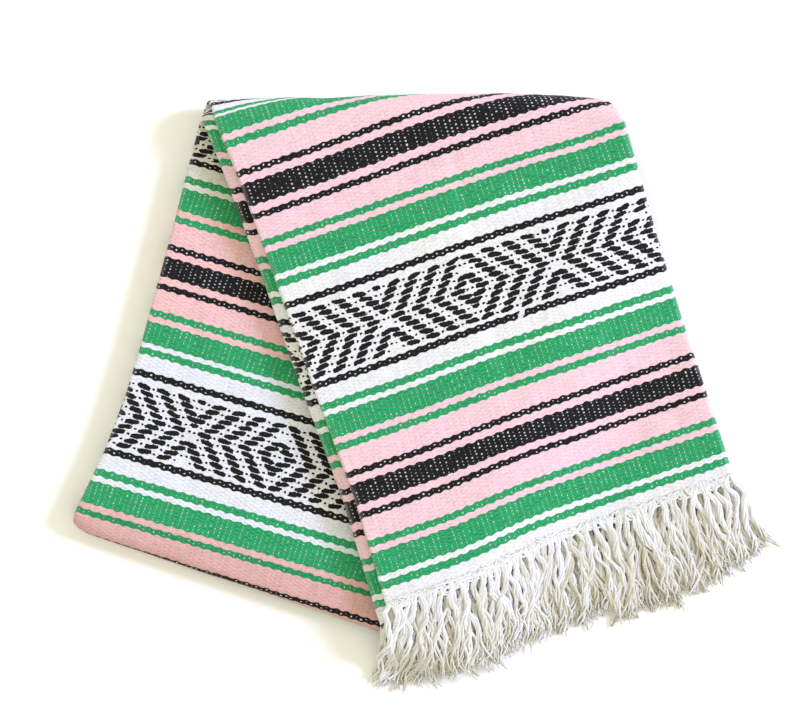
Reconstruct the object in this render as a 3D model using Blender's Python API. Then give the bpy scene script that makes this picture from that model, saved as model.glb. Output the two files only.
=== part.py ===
"""Folded mexican blanket, modelled at real size in metres with +Z up.

One woven blanket is folded in quarters across its width into a strip of four plies, doubled end to
end round the lower fold, and doubled again over the top fold, so that two flaps of eight plies splay
apart. Its hem with the knotted fringe lies on top. The outer ply is a cloth wall in three stretches,
the plies inside it share one solid, and each row of fringe is a backing strip with its locks.

Every piece is swept along the strip. A place on it is given by
  u      distance across the strip from its left edge
  leg    0 at the hem, 1 where the top fold begins, 2 where it ends, 3 at the axis of the lower fold
  turn   0 on the way out from the hem, pi on the way back, between them round the lower fold
  depth  distance below the strip's outer face
"""

import math

import bmesh
import bpy
import numpy as np

# Cloth
BLANKET_WIDTH = 1.270
STRIP_WIDTH = BLANKET_WIDTH / 4
WALL = 0.0021
GAP = 0.0003
PITCH = WALL + GAP
PLIES = 4
STRIP_DEPTH = PLIES * PITCH - GAP
FLAP_DEPTH = 2 * STRIP_DEPTH + GAP

# Folds
FLAP_ANGLE = math.radians(18.5)
TOP_FOLD_RADIUS = FLAP_DEPTH + GAP / 2
LOWER_FOLD_RADIUS = STRIP_DEPTH + GAP / 2
EDGE_FOLD_RADIUS = STRIP_DEPTH / 2
EDGE_FOLD_TUCK = 0.022
THIN_FOLD_RADIUS = (2 * PITCH - GAP) / 2
THIN_FOLD_TUCK = 0.018
TUCK_CLEARANCE = 0.0014

# Plan: the hem's left corner and the folds
HEM_CORNER = (-0.0336, -0.1738)
HEM_SAG = 0.004
HEM_RISE = 0.0098
HEM_BEND = (0.060, 0.160)
TOP_FOLD_Y = 0.2355
LOWER_FOLD_ALONG = 0.8505
CORNER_ROUND = 0.020
CORNER_DROP = 0.006

# Side edges of the strip: leg, left edge, right edge
EDGE_TABLE = np.array(
    [
        (0.00, 0.0020, 0.3183),
        (0.22, 0.0055, 0.3190),
        (0.45, 0.0020, 0.3192),
        (0.68, 0.0005, 0.3208),
        (0.86, -0.0015, 0.3230),
        (1.00, -0.0045, 0.3255),
        (2.00, 0.0015, 0.3205),
        (2.27, 0.0086, 0.3261),
        (2.57, 0.0144, 0.3319),
        (2.70, 0.0158, 0.3333),
        (2.84, 0.0135, 0.3310),
        (3.00, 0.0065, 0.3240),
    ]
)

# The upper flap's fall from the lower flap to the floor
DRAPE_LENGTH = 0.110
DRAPE_LIFT = 2 * TOP_FOLD_RADIUS - FLAP_DEPTH

# Third ply, showing beside the upper flap: distance across, sag below its own level
SELVEDGE_TABLE = np.array(
    [
        (0.0157, 0.0000),
        (0.0080, 0.0000),
        (0.0010, 0.0002),
        (-0.0030, 0.0010),
        (-0.0060, 0.0022),
        (-0.0090, 0.0040),
    ]
)
BARED_INSET = 0.0160
THIRD_PLY_INSET = 0.0024
FOURTH_PLY_INSET = 0.0012
PLY_GROOVE = 0.0006

# Fringe
LOCKS = 32
LOCK_SEGMENTS = 5
LOCK_WIDTH = 0.0040
LOCK_TIP_WIDTH = 0.0022
LOCK_FALL = 0.024
LOCK_ANGLES = (math.radians(-3.0), math.radians(23.0))
LOCK_SWAY = math.radians(2.0)
LOCK_UNEVENNESS = 0.10
BACKING_LENGTH = 0.0035
BACKING_INSET = 0.0006
UPPER_REST = 0.0070
LOWER_REST = 0.0024
LOWER_FOLD_CLEARANCE = 0.003
LOWER_FOLD_FALL = 0.026

# Reach of the fringe in plan: share of the hem, reach
REACH_TABLE = np.array(
    [
        (0.00, 0.062),
        (0.06, 0.078),
        (0.15, 0.092),
        (0.30, 0.086),
        (0.50, 0.090),
        (0.70, 0.101),
        (0.86, 0.103),
        (1.00, 0.080),
    ]
)

# Grid steps
COLUMNS_ON_FLAP = 3
COLUMNS_BESIDE = 5
FALL_COLUMN = 0.110
TOP_COLUMN_MARGIN = 0.040
THIN_FOLD_STEPS = 4
EDGE_FOLD_STEPS = 5
FRONT_STEPS = 8
TOP_FOLD_STEPS = 8
FLOOR_STEPS = 4
LOWER_FOLD_STEPS = 5

# Colours and finish
STRIPES_FRONT = (0.72, 0.42, 0.44, 1.0)
STRIPES_REAR = (0.60, 0.34, 0.30, 1.0)
STRIPES_UNDERSIDE = (0.42, 0.26, 0.24, 1.0)
STRIPES_INNER = (0.20, 0.36, 0.24, 1.0)
STRIPES_SELVEDGE = (0.08, 0.30, 0.14, 1.0)
UNDYED_YARN = (0.84, 0.80, 0.68, 1.0)
COTTON_ROUGHNESS = 0.9
SMOOTHING_ANGLE = math.radians(50)


def smooth_step(x):
    """0 below 0, 1 above 1, and a soft S between them."""
    t = np.clip(x, 0.0, 1.0)
    return t * t * (3 - 2 * t)


def flat_point(u, leg):
    """Distances across and along the strip, laid flat, with its edges as they lie."""
    left = np.interp(leg, EDGE_TABLE[:, 0], EDGE_TABLE[:, 1])
    right = np.interp(leg, EDGE_TABLE[:, 0], EDGE_TABLE[:, 2])
    across = left + u / STRIP_WIDTH * (right - left)
    bend = (u - HEM_BEND[0]) / (HEM_BEND[1] - HEM_BEND[0])
    hem = HEM_RISE * smooth_step(bend) - HEM_SAG
    rise = across * math.sin(FLAP_ANGLE)
    fold_start = (TOP_FOLD_Y - HEM_CORNER[1] - rise) / math.cos(FLAP_ANGLE)
    fold_end = fold_start + math.pi * TOP_FOLD_RADIUS / math.cos(FLAP_ANGLE)
    corner = np.clip(1 - u / CORNER_ROUND, 0, 1) ** 2
    lower_fold = LOWER_FOLD_ALONG - CORNER_DROP * corner
    along = (
        hem
        + (fold_start - hem) * np.clip(leg, 0, 1)
        + (fold_end - fold_start) * np.clip(leg - 1, 0, 1)
        + (lower_fold - fold_end) * np.clip(leg - 2, 0, 1)
    )
    return across, along


def plan_of(across, along):
    """x and y of a place on the strip before the top fold is made."""
    x = HEM_CORNER[0] + across * math.cos(FLAP_ANGLE) - along * math.sin(FLAP_ANGLE)
    y = HEM_CORNER[1] + across * math.sin(FLAP_ANGLE) + along * math.cos(FLAP_ANGLE)
    return x, y


def folded_back(y):
    """y, once the strip is folded back over the top fold."""
    return 2 * TOP_FOLD_Y + math.pi * TOP_FOLD_RADIUS - y


def distance_beside(x, y):
    """Distance beyond the line where the upper flap begins to fall.

    The line runs from the top fold's right end to the lower flap's right corner.
    """
    start_x, start_y = plan_of(*flat_point(STRIP_WIDTH, 1.0))
    corner_x, corner_y = plan_of(*flat_point(STRIP_WIDTH, 3.0))
    run_x, run_y = start_x - corner_x, start_y - folded_back(corner_y)
    cross = (x - start_x) * run_y - (y - start_y) * run_x
    return cross / math.hypot(run_x, run_y)


def drape(x, y):
    """Height of the upper flap's underside: on the lower flap, then falling to the floor."""
    return DRAPE_LIFT * (1 - smooth_step(distance_beside(x, y) / DRAPE_LENGTH))


def place(u, leg, turn, depth):
    """World position of a place on the folded strip."""
    across, along = flat_point(u, leg)
    reach = LOWER_FOLD_RADIUS - depth
    flap_depth = LOWER_FOLD_RADIUS - reach * np.cos(turn)
    x, flat_y = plan_of(across, along + reach * np.sin(turn))
    past = flat_y - TOP_FOLD_Y
    bend = np.clip(past / TOP_FOLD_RADIUS, 0, math.pi)
    beyond = np.maximum(past - math.pi * TOP_FOLD_RADIUS, 0)
    radius = TOP_FOLD_RADIUS - flap_depth
    y = np.minimum(flat_y, TOP_FOLD_Y) + radius * np.sin(bend) - beyond
    on_front = drape(x, flat_y) + FLAP_DEPTH - flap_depth
    folded = TOP_FOLD_RADIUS + radius * np.cos(bend)
    return np.stack([x, y, np.where(past < 0, on_front, folded)], axis=-1)


def column_places():
    """Distances across the strip of the grid lines that every section shares."""
    first = THIN_FOLD_TUCK + TUCK_CLEARANCE
    last = STRIP_WIDTH - EDGE_FOLD_RADIUS - EDGE_FOLD_TUCK - TUCK_CLEARANCE
    on_flap = np.linspace(first, FALL_COLUMN, COLUMNS_ON_FLAP + 1)
    beside = np.linspace(FALL_COLUMN, last, COLUMNS_BESIDE + 1)
    return np.concatenate([on_flap, beside[1:]])


def shifted_columns(u, leg):
    """Moves the grid lines so that one follows the line where the upper flap begins to fall."""
    first, last = column_places()[[0, -1]]
    leg = np.clip(leg, 0, 1)
    hem_x, hem_y = plan_of(*flat_point(0.0, leg))
    end_x, end_y = plan_of(*flat_point(STRIP_WIDTH, leg))
    at_left = distance_beside(hem_x, hem_y)
    at_right = distance_beside(end_x, end_y)
    fall = -at_left / (at_right - at_left) * STRIP_WIDTH
    fall = np.minimum(fall, last - TOP_COLUMN_MARGIN)
    inner = first + (u - first) * (fall - first) / (FALL_COLUMN - first)
    outer = fall + (u - FALL_COLUMN) * (last - fall) / (last - FALL_COLUMN)
    inside = np.where(u < FALL_COLUMN, inner, outer)
    return np.where((u > first) & (u < last), inside, u)


def edge_arc(centre, radius, first, last, steps):
    """Points (u, depth) of a rounded edge of the strip, whose centre is as deep as its fold's radius."""
    angles = np.linspace(first, last, steps + 1)
    centre_u, centre_depth = centre
    return np.stack(
        [centre_u + radius * np.cos(angles), centre_depth + radius * np.sin(angles)], axis=-1
    )


def outer_ply_section():
    """The two faces, as rows of (u, depth), of the outer ply with its folded edges.

    The left edge folds under to the second ply and the right edge to the fourth.
    """
    quarter = math.pi / 2
    thin_centre = (THIN_FOLD_RADIUS, THIN_FOLD_RADIUS)
    edge_centre = (STRIP_WIDTH - EDGE_FOLD_RADIUS, EDGE_FOLD_RADIUS)
    columns = column_places()
    faces = []
    for offset in (0.0, WALL):
        left = edge_arc(
            thin_centre, THIN_FOLD_RADIUS - offset, quarter, 3 * quarter, THIN_FOLD_STEPS
        )
        right = edge_arc(
            edge_centre, EDGE_FOLD_RADIUS - offset, -quarter, quarter, EDGE_FOLD_STEPS
        )
        top = np.stack([columns, np.full(len(columns), offset)], axis=-1)
        left_tuck = [(THIN_FOLD_TUCK, left[0, 1])]
        right_tuck = [(columns[-1] + TUCK_CLEARANCE, right[-1, 1])]
        faces.append(np.concatenate([left_tuck, left, top, right, right_tuck]))
    return faces


def inner_plies_section(third_inset):
    """Outline, as rows of (u, depth), of plies two to four.

    It has a nested fold at the right, and at the left the two plies' edges, each rounded.
    """
    columns = column_places()
    second = PITCH
    third = 2 * PITCH
    fourth = 3 * PITCH
    half = WALL / 2
    nest = edge_arc(
        (STRIP_WIDTH - EDGE_FOLD_RADIUS, EDGE_FOLD_RADIUS),
        EDGE_FOLD_RADIUS - PITCH,
        -math.pi / 2,
        math.pi / 2,
        EDGE_FOLD_STEPS,
    )
    groove = max(third_inset, FOURTH_PLY_INSET) + half + PLY_GROOVE
    return np.concatenate(
        [
            np.stack([columns, np.full(len(columns), second)], axis=-1),
            nest,
            [(columns[-1], nest[-1, 1])],
            np.stack([columns[::-1], np.full(len(columns), STRIP_DEPTH)], axis=-1),
            [
                (FOURTH_PLY_INSET + half, STRIP_DEPTH),
                (FOURTH_PLY_INSET, fourth + half),
                (FOURTH_PLY_INSET + half, fourth),
                (groove, fourth - GAP / 2),
                (third_inset + half, third + WALL),
                (third_inset, third + half),
                (third_inset + half, third),
                (columns[0], third),
            ],
        ]
    )


def selvedge_section():
    """The two faces, as rows of (u, depth), of the third ply's edge that shows beside the front."""
    u, sag = SELVEDGE_TABLE.T
    upper = np.stack([u, 2 * PITCH + sag], axis=-1)
    lower = upper + (0, WALL)
    return [upper, lower]


def stations(first, last, steps, turn=0.0):
    """Rows of (leg, turn) between two leg values."""
    legs = np.linspace(first, last, steps + 1)
    return np.stack([legs, np.full(len(legs), turn)], axis=-1)


def round_lower_fold():
    """Rows of (leg, turn) round the lower fold, from the floor side to the top side."""
    turns = np.linspace(0, math.pi, LOWER_FOLD_STEPS + 1)
    return np.stack([np.full(len(turns), 3.0), turns], axis=-1)


def seam_in_leg():
    """The seam's gap, as a change in leg on the lower flap."""
    fold_end = flat_point(STRIP_WIDTH / 2, 2.0)[1]
    return GAP / (LOWER_FOLD_ALONG - fold_end)


def swept(section, rows):
    """World points of a section at each station: stations x section points x 3."""
    leg, turn = rows[:, :1], rows[:, 1:]
    u = shifted_columns(section[None, :, 0], leg)
    return place(u, leg, turn, section[None, :, 1])


def cell_triangles(first, second, rising, reverse=False):
    """Two triangles for each cell between two rows of point numbers.

    rising tells, for each cell, which diagonal splits it, so that neighbouring plies fold alike.
    """
    triangles = []
    for i, up in enumerate(rising):
        a, b, c, d = first[i], first[i + 1], second[i + 1], second[i]
        triangles += [(a, b, c), (a, c, d)] if up else [(a, b, d), (b, c, d)]
    return [triangle[::-1] for triangle in triangles] if reverse else triangles


def diagonals(section, row, next_row):
    """Which diagonal splits each cell between two stations: from low u and leg to high u and leg."""
    forward = next_row[0] >= row[0]
    return (np.diff(section[:, 0]) >= 0) == forward


def wall_solid(faces, rows):
    """Points and triangles of a closed wall with the given two faces, along the stations."""
    outer, inner = (swept(face, rows) for face in faces)
    count, size = outer.shape[:2]
    points = np.concatenate([outer.reshape(-1, 3), inner.reshape(-1, 3)])
    top = np.arange(count * size).reshape(count, size)
    bottom = top + count * size
    triangles = []
    for k in range(count - 1):
        rising = diagonals(faces[0], rows[k], rows[k + 1])
        triangles += cell_triangles(top[k], top[k + 1], rising)
        triangles += cell_triangles(bottom[k], bottom[k + 1], rising, reverse=True)
    for k, reverse in ((0, True), (-1, False)):
        triangles += cell_triangles(top[k], bottom[k], [True] * (size - 1), reverse)
    for k, reverse in ((0, False), (-1, True)):
        triangles += cell_triangles(top[:, k], bottom[:, k], [True] * (count - 1), reverse)
    return points, triangles


def end_faces(ring):
    """Faces that close one end of the inner plies, split at the grid lines so that they bend with it."""
    count = len(column_places())
    nest = EDGE_FOLD_STEPS + 2
    above = ring[:count]
    below = ring[count + nest : 2 * count + nest][::-1]
    cells = [
        (above[i], above[i + 1], below[i + 1], below[i]) for i in range(count - 1)
    ]
    right = tuple(ring[count - 1 : count + nest + 1])
    left = tuple(ring[2 * count + nest - 1 :]) + (ring[0],)
    return cells + [right, left]


def ring_solid(stretches):
    """Points and faces of a closed solid through the rings of (section, rows) stretches."""
    rings = np.concatenate([swept(section, rows) for section, rows in stretches])
    rows = np.concatenate([rows for _, rows in stretches])
    closed = np.concatenate([stretches[0][0], stretches[0][0][:1]])
    count, size = rings.shape[:2]
    index = np.arange(count * size).reshape(count, size)
    looped = np.concatenate([index, index[:, :1]], axis=1)
    faces = []
    for k in range(count - 1):
        faces += cell_triangles(
            looped[k], looped[k + 1], diagonals(closed, rows[k], rows[k + 1])
        )
    return rings.reshape(-1, 3), faces + end_faces(index[0]) + end_faces(index[-1])


def front_cloth():
    """The outer ply from the hem over the top fold and along the floor to the lower fold."""
    rows = np.concatenate(
        [
            stations(0, 1, FRONT_STEPS)[:-1],
            stations(1, 2, TOP_FOLD_STEPS)[:-1],
            stations(2, 3 - seam_in_leg(), FLOOR_STEPS),
        ]
    )
    return wall_solid(outer_ply_section(), rows)


def rear_cloth():
    """The outer ply round the lower fold and up the lower flap's top to the top fold."""
    rows = np.concatenate(
        [round_lower_fold(), stations(3, 2 + seam_in_leg(), FLOOR_STEPS, math.pi)[1:]]
    )
    return wall_solid(outer_ply_section(), rows)


def underside_cloth():
    """The outer ply in the top fold's crease and along the upper flap's underside to the hem."""
    rows = np.concatenate(
        [stations(2, 1, TOP_FOLD_STEPS, math.pi)[:-1], stations(1, 0, FRONT_STEPS, math.pi)]
    )
    return wall_solid(outer_ply_section(), rows)


def front_selvedge_cloth():
    """The third ply's edge beside the upper flap, from the hem over the top fold."""
    rows = np.concatenate(
        [stations(0, 1, FRONT_STEPS)[:-1], stations(1, 2 - seam_in_leg(), TOP_FOLD_STEPS)]
    )
    return wall_solid(selvedge_section(), rows)


def inner_plies():
    """Plies two to four from the upper hem round every fold to the lower hem."""
    beside_selvedge = np.concatenate(
        [stations(0, 1, FRONT_STEPS)[:-1], stations(1, 2, TOP_FOLD_STEPS)]
    )
    beyond_it = np.concatenate(
        [
            stations(2 + seam_in_leg(), 3, FLOOR_STEPS)[:-1],
            round_lower_fold(),
            stations(3, 2, FLOOR_STEPS, math.pi)[1:],
            stations(2, 1, TOP_FOLD_STEPS, math.pi)[1:],
            stations(1, 0, FRONT_STEPS, math.pi)[1:],
        ]
    )
    return ring_solid(
        [
            (inner_plies_section(BARED_INSET), beside_selvedge),
            (inner_plies_section(THIRD_PLY_INSET), beyond_it),
        ]
    )


def hem_place(u, out, flap_depth):
    """World position of a place at a distance out from the upper flap's hem, as the cloth's grid has it."""
    columns = shifted_columns(column_places(), 0.0)
    grid = np.concatenate([[0.0], columns, [STRIP_WIDTH]])
    across, _ = flat_point(u, 0.0)
    along = np.interp(u, grid, flat_point(grid, 0.0)[1])
    x, y = plan_of(across, along - out)
    return np.stack([x, y, drape(x, y) + FLAP_DEPTH - flap_depth], axis=-1)


def ground_height(x, y):
    """Height of what the fringe lies on: the lower flap, then the floor past its fold and its edge."""
    rear_y = folded_back(y)
    along = (rear_y - HEM_CORNER[1]) * math.cos(FLAP_ANGLE) - (x - HEM_CORNER[0]) * math.sin(
        FLAP_ANGLE
    )
    past = along - LOWER_FOLD_ALONG - LOWER_FOLD_RADIUS - LOWER_FOLD_CLEARANCE
    return drape(x, y) * (1 - smooth_step(past / LOWER_FOLD_FALL))


def lock_rings(root, share, rest, sway, length_factor):
    """Rings of four points along one lock, from just outside its root to its tip."""
    angle = np.interp(share, (0, 1), LOCK_ANGLES) + sway
    heading = np.array([math.sin(angle), -math.cos(angle)])
    aside = np.array([-heading[1], heading[0], 0.0])
    reach = np.interp(share, REACH_TABLE[:, 0], REACH_TABLE[:, 1]) * length_factor
    steps = np.linspace(0, 1, LOCK_SEGMENTS + 1)
    out = reach * steps**1.3
    plan = root[:2] + out[:, None] * heading
    ground = ground_height(plan[:, 0], plan[:, 1])
    height = ground + rest + (root[2] - ground[0] - rest) * np.exp(-((out / LOCK_FALL) ** 2))
    path = np.column_stack([plan, height])
    run = np.gradient(path, axis=0)
    run /= np.linalg.norm(run, axis=1)[:, None]
    upward = np.cross(run, aside)
    upward *= np.sign(upward[:, 2:])
    width = np.interp(steps, (0, 1), (LOCK_WIDTH, LOCK_TIP_WIDTH))[:, None] / 2
    corners = [(-1, 1), (1, 1), (1, -1), (-1, -1)]
    rings = [path + width * (side * aside + level * upward) for side, level in corners]
    return np.stack(rings, axis=1)[1:]


def fringe(first_depth, rest, seed):
    """Points and faces of a backing strip along the hem with its locks, as one closed solid.

    The strip's outer face has two levels of cells, and a lock grows from every other column's cell,
    from the upper and the lower level by turns.
    """
    chance = np.random.default_rng(seed)
    columns = 2 * LOCKS + 1
    u = np.linspace(0.004, STRIP_WIDTH - 0.004, columns + 1)
    depths = first_depth + np.linspace(BACKING_INSET, STRIP_DEPTH - BACKING_INSET, 3)
    near, far = GAP, GAP + BACKING_LENGTH
    levels = [(far, depths[0]), (far, depths[1]), (far, depths[2]), (near, depths[2]), (near, depths[0])]
    sections = np.stack([hem_place(u, out, depth) for out, depth in levels], axis=1)
    size = len(levels)
    points = list(sections.reshape(-1, 3))
    index = np.arange(len(points)).reshape(-1, size)
    faces = [tuple(index[0]), tuple(index[-1][::-1])]
    for column in range(columns):
        lock = column // 2
        rooted = lock % 2 if column % 2 else None
        for level in range(size):
            after = (level + 1) % size
            cell = (
                index[column, level],
                index[column + 1, level],
                index[column + 1, after],
                index[column, after],
            )
            if level != rooted:
                faces.append(cell)
                continue
            root = np.mean([points[i] for i in cell], axis=0)
            share = (lock + 0.5) / LOCKS
            sway = chance.uniform(-LOCK_SWAY, LOCK_SWAY)
            length_factor = 1 - chance.uniform(0, LOCK_UNEVENNESS)
            ring = cell
            for corners in lock_rings(root, share, rest, sway, length_factor):
                new = tuple(range(len(points), len(points) + 4))
                points += list(corners)
                faces += [
                    (ring[i], ring[(i + 1) % 4], new[(i + 1) % 4], new[i]) for i in range(4)
                ]
                ring = new
            faces.append(ring)
    return np.array(points), faces


def cotton(name, colour):
    """A matt cotton material."""
    material = bpy.data.materials.new(name)
    material.use_nodes = True
    shader = material.node_tree.nodes["Principled BSDF"]
    shader.inputs["Base Color"].default_value = colour
    shader.inputs["Roughness"].default_value = COTTON_ROUGHNESS
    shader.inputs["Metallic"].default_value = 0.0
    material.diffuse_color = colour
    return material


def add_solid(name, points, faces, colour):
    """Adds one closed solid, its faces turned outward, with its own material."""
    mesh = bpy.data.meshes.new(name)
    mesh.from_pydata(points.tolist(), [], [tuple(int(i) for i in face) for face in faces])
    shape = bmesh.new()
    shape.from_mesh(mesh)
    bmesh.ops.recalc_face_normals(shape, faces=shape.faces)
    shape.to_mesh(mesh)
    shape.free()
    mesh.shade_smooth()
    mesh.set_sharp_from_angle(angle=SMOOTHING_ANGLE)
    mesh.materials.append(cotton(f"{name}_cotton", colour))
    obj = bpy.data.objects.new(name, mesh)
    bpy.context.scene.collection.objects.link(obj)


def clear_scene():
    for obj in list(bpy.data.objects):
        bpy.data.objects.remove(obj, do_unlink=True)


def main():
    clear_scene()
    pieces = {
        "front_cloth": (front_cloth(), STRIPES_FRONT),
        "rear_cloth": (rear_cloth(), STRIPES_REAR),
        "underside_cloth": (underside_cloth(), STRIPES_UNDERSIDE),
        "front_selvedge_cloth": (front_selvedge_cloth(), STRIPES_SELVEDGE),
        "inner_plies": (inner_plies(), STRIPES_INNER),
        "fringe_upper": (fringe(0.0, UPPER_REST, 3), UNDYED_YARN),
        "fringe_lower": (fringe(STRIP_DEPTH + GAP, LOWER_REST, 8), UNDYED_YARN),
    }
    every_point = np.concatenate([solid[0] for solid, _ in pieces.values()])
    low, high = every_point.min(axis=0), every_point.max(axis=0)
    centre = np.array([(low[0] + high[0]) / 2, (low[1] + high[1]) / 2, low[2]])
    for name, ((points, faces), colour) in pieces.items():
        add_solid(name, points - centre, faces, colour)


main()
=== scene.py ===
"""Folded mexican blanket, dressed for rendering, in metres with +Z up.

The cloth is swept along its folds just as the solids are, on finer grids. A place on it is given by
  u      distance across the folded strip from its left edge
  leg    0 at the hem, 1 where the top fold begins, 2 where it ends, 3 at the lower fold's axis;
         below 0 for a ply that hangs out past the hem
  turn   0 on the way out from the hem, pi on the way back, between them round the lower fold
  depth  distance below the strip's outer face
Each point also carries its place on the flat cloth, across and along, from which the material works
out its stripes, its diamond bands and its weave.
"""

import math

import bpy
import numpy as np
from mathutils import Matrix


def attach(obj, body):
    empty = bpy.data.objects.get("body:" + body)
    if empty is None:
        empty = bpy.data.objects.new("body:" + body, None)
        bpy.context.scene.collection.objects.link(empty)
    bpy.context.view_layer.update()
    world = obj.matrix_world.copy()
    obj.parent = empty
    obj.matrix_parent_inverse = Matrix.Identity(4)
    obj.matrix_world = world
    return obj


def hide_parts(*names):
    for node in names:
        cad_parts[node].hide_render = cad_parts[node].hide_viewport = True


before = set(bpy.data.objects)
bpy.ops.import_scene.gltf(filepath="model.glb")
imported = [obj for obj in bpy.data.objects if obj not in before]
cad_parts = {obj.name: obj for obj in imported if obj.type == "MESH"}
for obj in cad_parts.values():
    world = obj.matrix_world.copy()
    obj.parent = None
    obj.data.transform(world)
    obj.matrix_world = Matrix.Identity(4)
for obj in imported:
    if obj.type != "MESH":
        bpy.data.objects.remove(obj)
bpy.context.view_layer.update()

bl_info = {
    "name": "Folded mexican blanket",
    "version": (1, 0, 0),
    "blender": (4, 5, 0),
    "location": "View3D > Sidebar > Blanket",
    "description": "Builds a folded striped blanket with a knotted fringe on its packed frame",
    "category": "Add Mesh",
}

# Cloth and folds, as the solids have them
CLOTH_WIDTH = 1.270
STRIP_WIDTH = CLOTH_WIDTH / 4
WALL = 0.0021
GAP = 0.0003
PITCH = WALL + GAP
STRIP_DEPTH = 4 * PITCH - GAP
FLAP_DEPTH = 2 * STRIP_DEPTH + GAP
FLAP_ANGLE = math.radians(18.5)
TOP_FOLD_RADIUS = FLAP_DEPTH + GAP / 2
LOWER_FOLD_RADIUS = STRIP_DEPTH + GAP / 2
EDGE_FOLD_RADIUS = STRIP_DEPTH / 2
EDGE_FOLD_TUCK = 0.022
THIN_FOLD_RADIUS = (2 * PITCH - GAP) / 2
THIN_FOLD_TUCK = 0.018
HEM_CORNER = (-0.0336, -0.1738)
HEM_SAG = 0.004
HEM_RISE = 0.0098
HEM_BEND = (0.060, 0.160)
EDGE_BEND = (0.19, 0.30)
TOP_FOLD_Y = 0.2355
LEG_LENGTH = TOP_FOLD_Y - HEM_CORNER[1]
TOP_FOLD_END = 0.4948
LOWER_FOLD_ALONG = 0.8505
CORNER_ROUND = 0.020
CORNER_DROP = 0.006
DRAPE_LENGTH = 0.110
DRAPE_LIFT = 2 * TOP_FOLD_RADIUS - FLAP_DEPTH
CENTRE = (-0.0041446, -0.0002472, 0.0)

# Side edges of the strip: leg, left edge, right edge
EDGE_TABLE = np.array(
    [
        (0.00, 0.0020, 0.3183),
        (0.22, 0.0055, 0.3190),
        (0.45, 0.0020, 0.3192),
        (0.68, 0.0005, 0.3208),
        (0.86, -0.0015, 0.3230),
        (1.00, -0.0045, 0.3255),
        (2.00, 0.0015, 0.3205),
        (2.27, 0.0086, 0.3261),
        (2.57, 0.0144, 0.3319),
        (2.70, 0.0158, 0.3333),
        (2.84, 0.0135, 0.3310),
        (3.00, 0.0065, 0.3240),
    ]
)

# Third ply, showing beside the upper flap: distance across, sag below its own level
SELVEDGE_TABLE = np.array(
    [
        (-0.0090, 0.0040),
        (-0.0060, 0.0022),
        (-0.0030, 0.0010),
        (0.0010, 0.0002),
        (0.0080, 0.0000),
        (0.0157, 0.0000),
    ]
)

# Where the stripes lie on the upper flap: distance from the hem's line, how much further from the
# hem the cloth's own measure is at the left, at the right and at the right edge
SHIFT_TABLE = np.array(
    [
        (0.000, 0.0040, -0.0046, -0.0040),
        (0.030, 0.0030, -0.0033, -0.0028),
        (0.050, 0.0032, -0.0025, -0.0024),
        (0.080, 0.0027, -0.0020, -0.0020),
        (0.100, 0.0034, 0.0002, 0.0002),
        (0.115, 0.0039, 0.0006, 0.0008),
        (0.140, 0.0036, 0.0010, 0.0012),
        (0.160, 0.0034, 0.0011, 0.0014),
        (0.190, 0.0046, 0.0019, 0.0032),
        (0.230, 0.0045, 0.0027, 0.0044),
        (0.265, 0.0050, 0.0036, 0.0062),
        (0.300, 0.0052, 0.0034, 0.0063),
        (0.330, 0.0049, 0.0043, 0.0073),
        (0.345, 0.0060, 0.0038, 0.0055),
        (0.365, 0.0046, 0.0022, 0.0034),
        (0.385, 0.0045, 0.0025, 0.0034),
        (0.411, 0.0020, 0.0020, 0.0026),
        (0.421, 0.0014, 0.0020, 0.0026),
        (0.431, 0.0040, 0.0020, 0.0026),
        (0.434, 0.0058, 0.0020, 0.0026),
        (0.438, 0.0099, 0.0020, 0.0026),
        (0.447, 0.0200, 0.0020, 0.0026),
    ]
)

# The lower flap's stripes: distance up from its diamond band's centre, the same on the flat cloth
REAR_TABLE = np.array(
    [
        (-0.1200, -0.1225),
        (-0.1000, -0.1022),
        (-0.0900, -0.0903),
        (0.0000, 0.0000),
        (0.0545, 0.0561),
        (0.0699, 0.0741),
        (0.0875, 0.0923),
        (0.1108, 0.1172),
        (0.1282, 0.1360),
        (0.1450, 0.1549),
        (0.1700, 0.1798),
        (0.1874, 0.1979),
        (0.2049, 0.2159),
        (0.2202, 0.2357),
        (0.2560, 0.2750),
    ]
)
REAR_BAND = 1.048
REAR_BAND_ALONG = 0.7501
REAR_BAND_SLANT = 0.042
CLOTH_LENGTH = 1.824
SELVEDGE_LAG = 0.0137
SELVEDGE_OVERHANG = 0.045

# Creases: across and travel of both ends, depth, half width. Travel runs from the upper hem over
# the top fold (0.43 to 0.49), along the floor to the lower fold (0.85 to 0.88) and back
CREASE_TABLE = np.array(
    [
        (0.176, 0.345, 0.158, 0.115, 0.0010, 0.0060),
        (0.247, 0.010, 0.262, 0.190, 0.0009, 0.0080),
        (0.060, 0.060, 0.115, 0.145, 0.0006, 0.0090),
        (0.040, 0.330, 0.105, 0.400, 0.0007, 0.0080),
        (0.215, 0.405, 0.300, 0.352, 0.0007, 0.0085),
        (0.128, 0.002, 0.134, 0.050, 0.0008, 0.0055),
        (0.285, 0.060, 0.300, 0.135, 0.0006, 0.0060),
        (0.020, 0.205, 0.052, 0.285, 0.0005, 0.0070),
        (0.090, 0.560, 0.135, 0.720, 0.0009, 0.0080),
        (0.230, 0.600, 0.205, 0.790, 0.0008, 0.0075),
        (0.045, 1.010, 0.100, 0.925, 0.0008, 0.0075),
        (0.028, 1.120, 0.064, 1.045, 0.0007, 0.0070),
        (0.180, 1.000, 0.235, 0.905, 0.0007, 0.0070),
        (0.205, 1.420, 0.178, 1.600, 0.0009, 0.0080),
        (0.270, 1.480, 0.285, 1.640, 0.0007, 0.0080),
    ]
)
CREASE_UNEVENNESS = 0.35
WEAR_WIDTH = 0.0022
THINNEST_SHARE = 0.2
SAGGING_SHARE = 0.6
SELVEDGE_NARROWING = 0.55
SELVEDGE_COLUMNS = 12
NESTED_COLUMNS = 16
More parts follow.
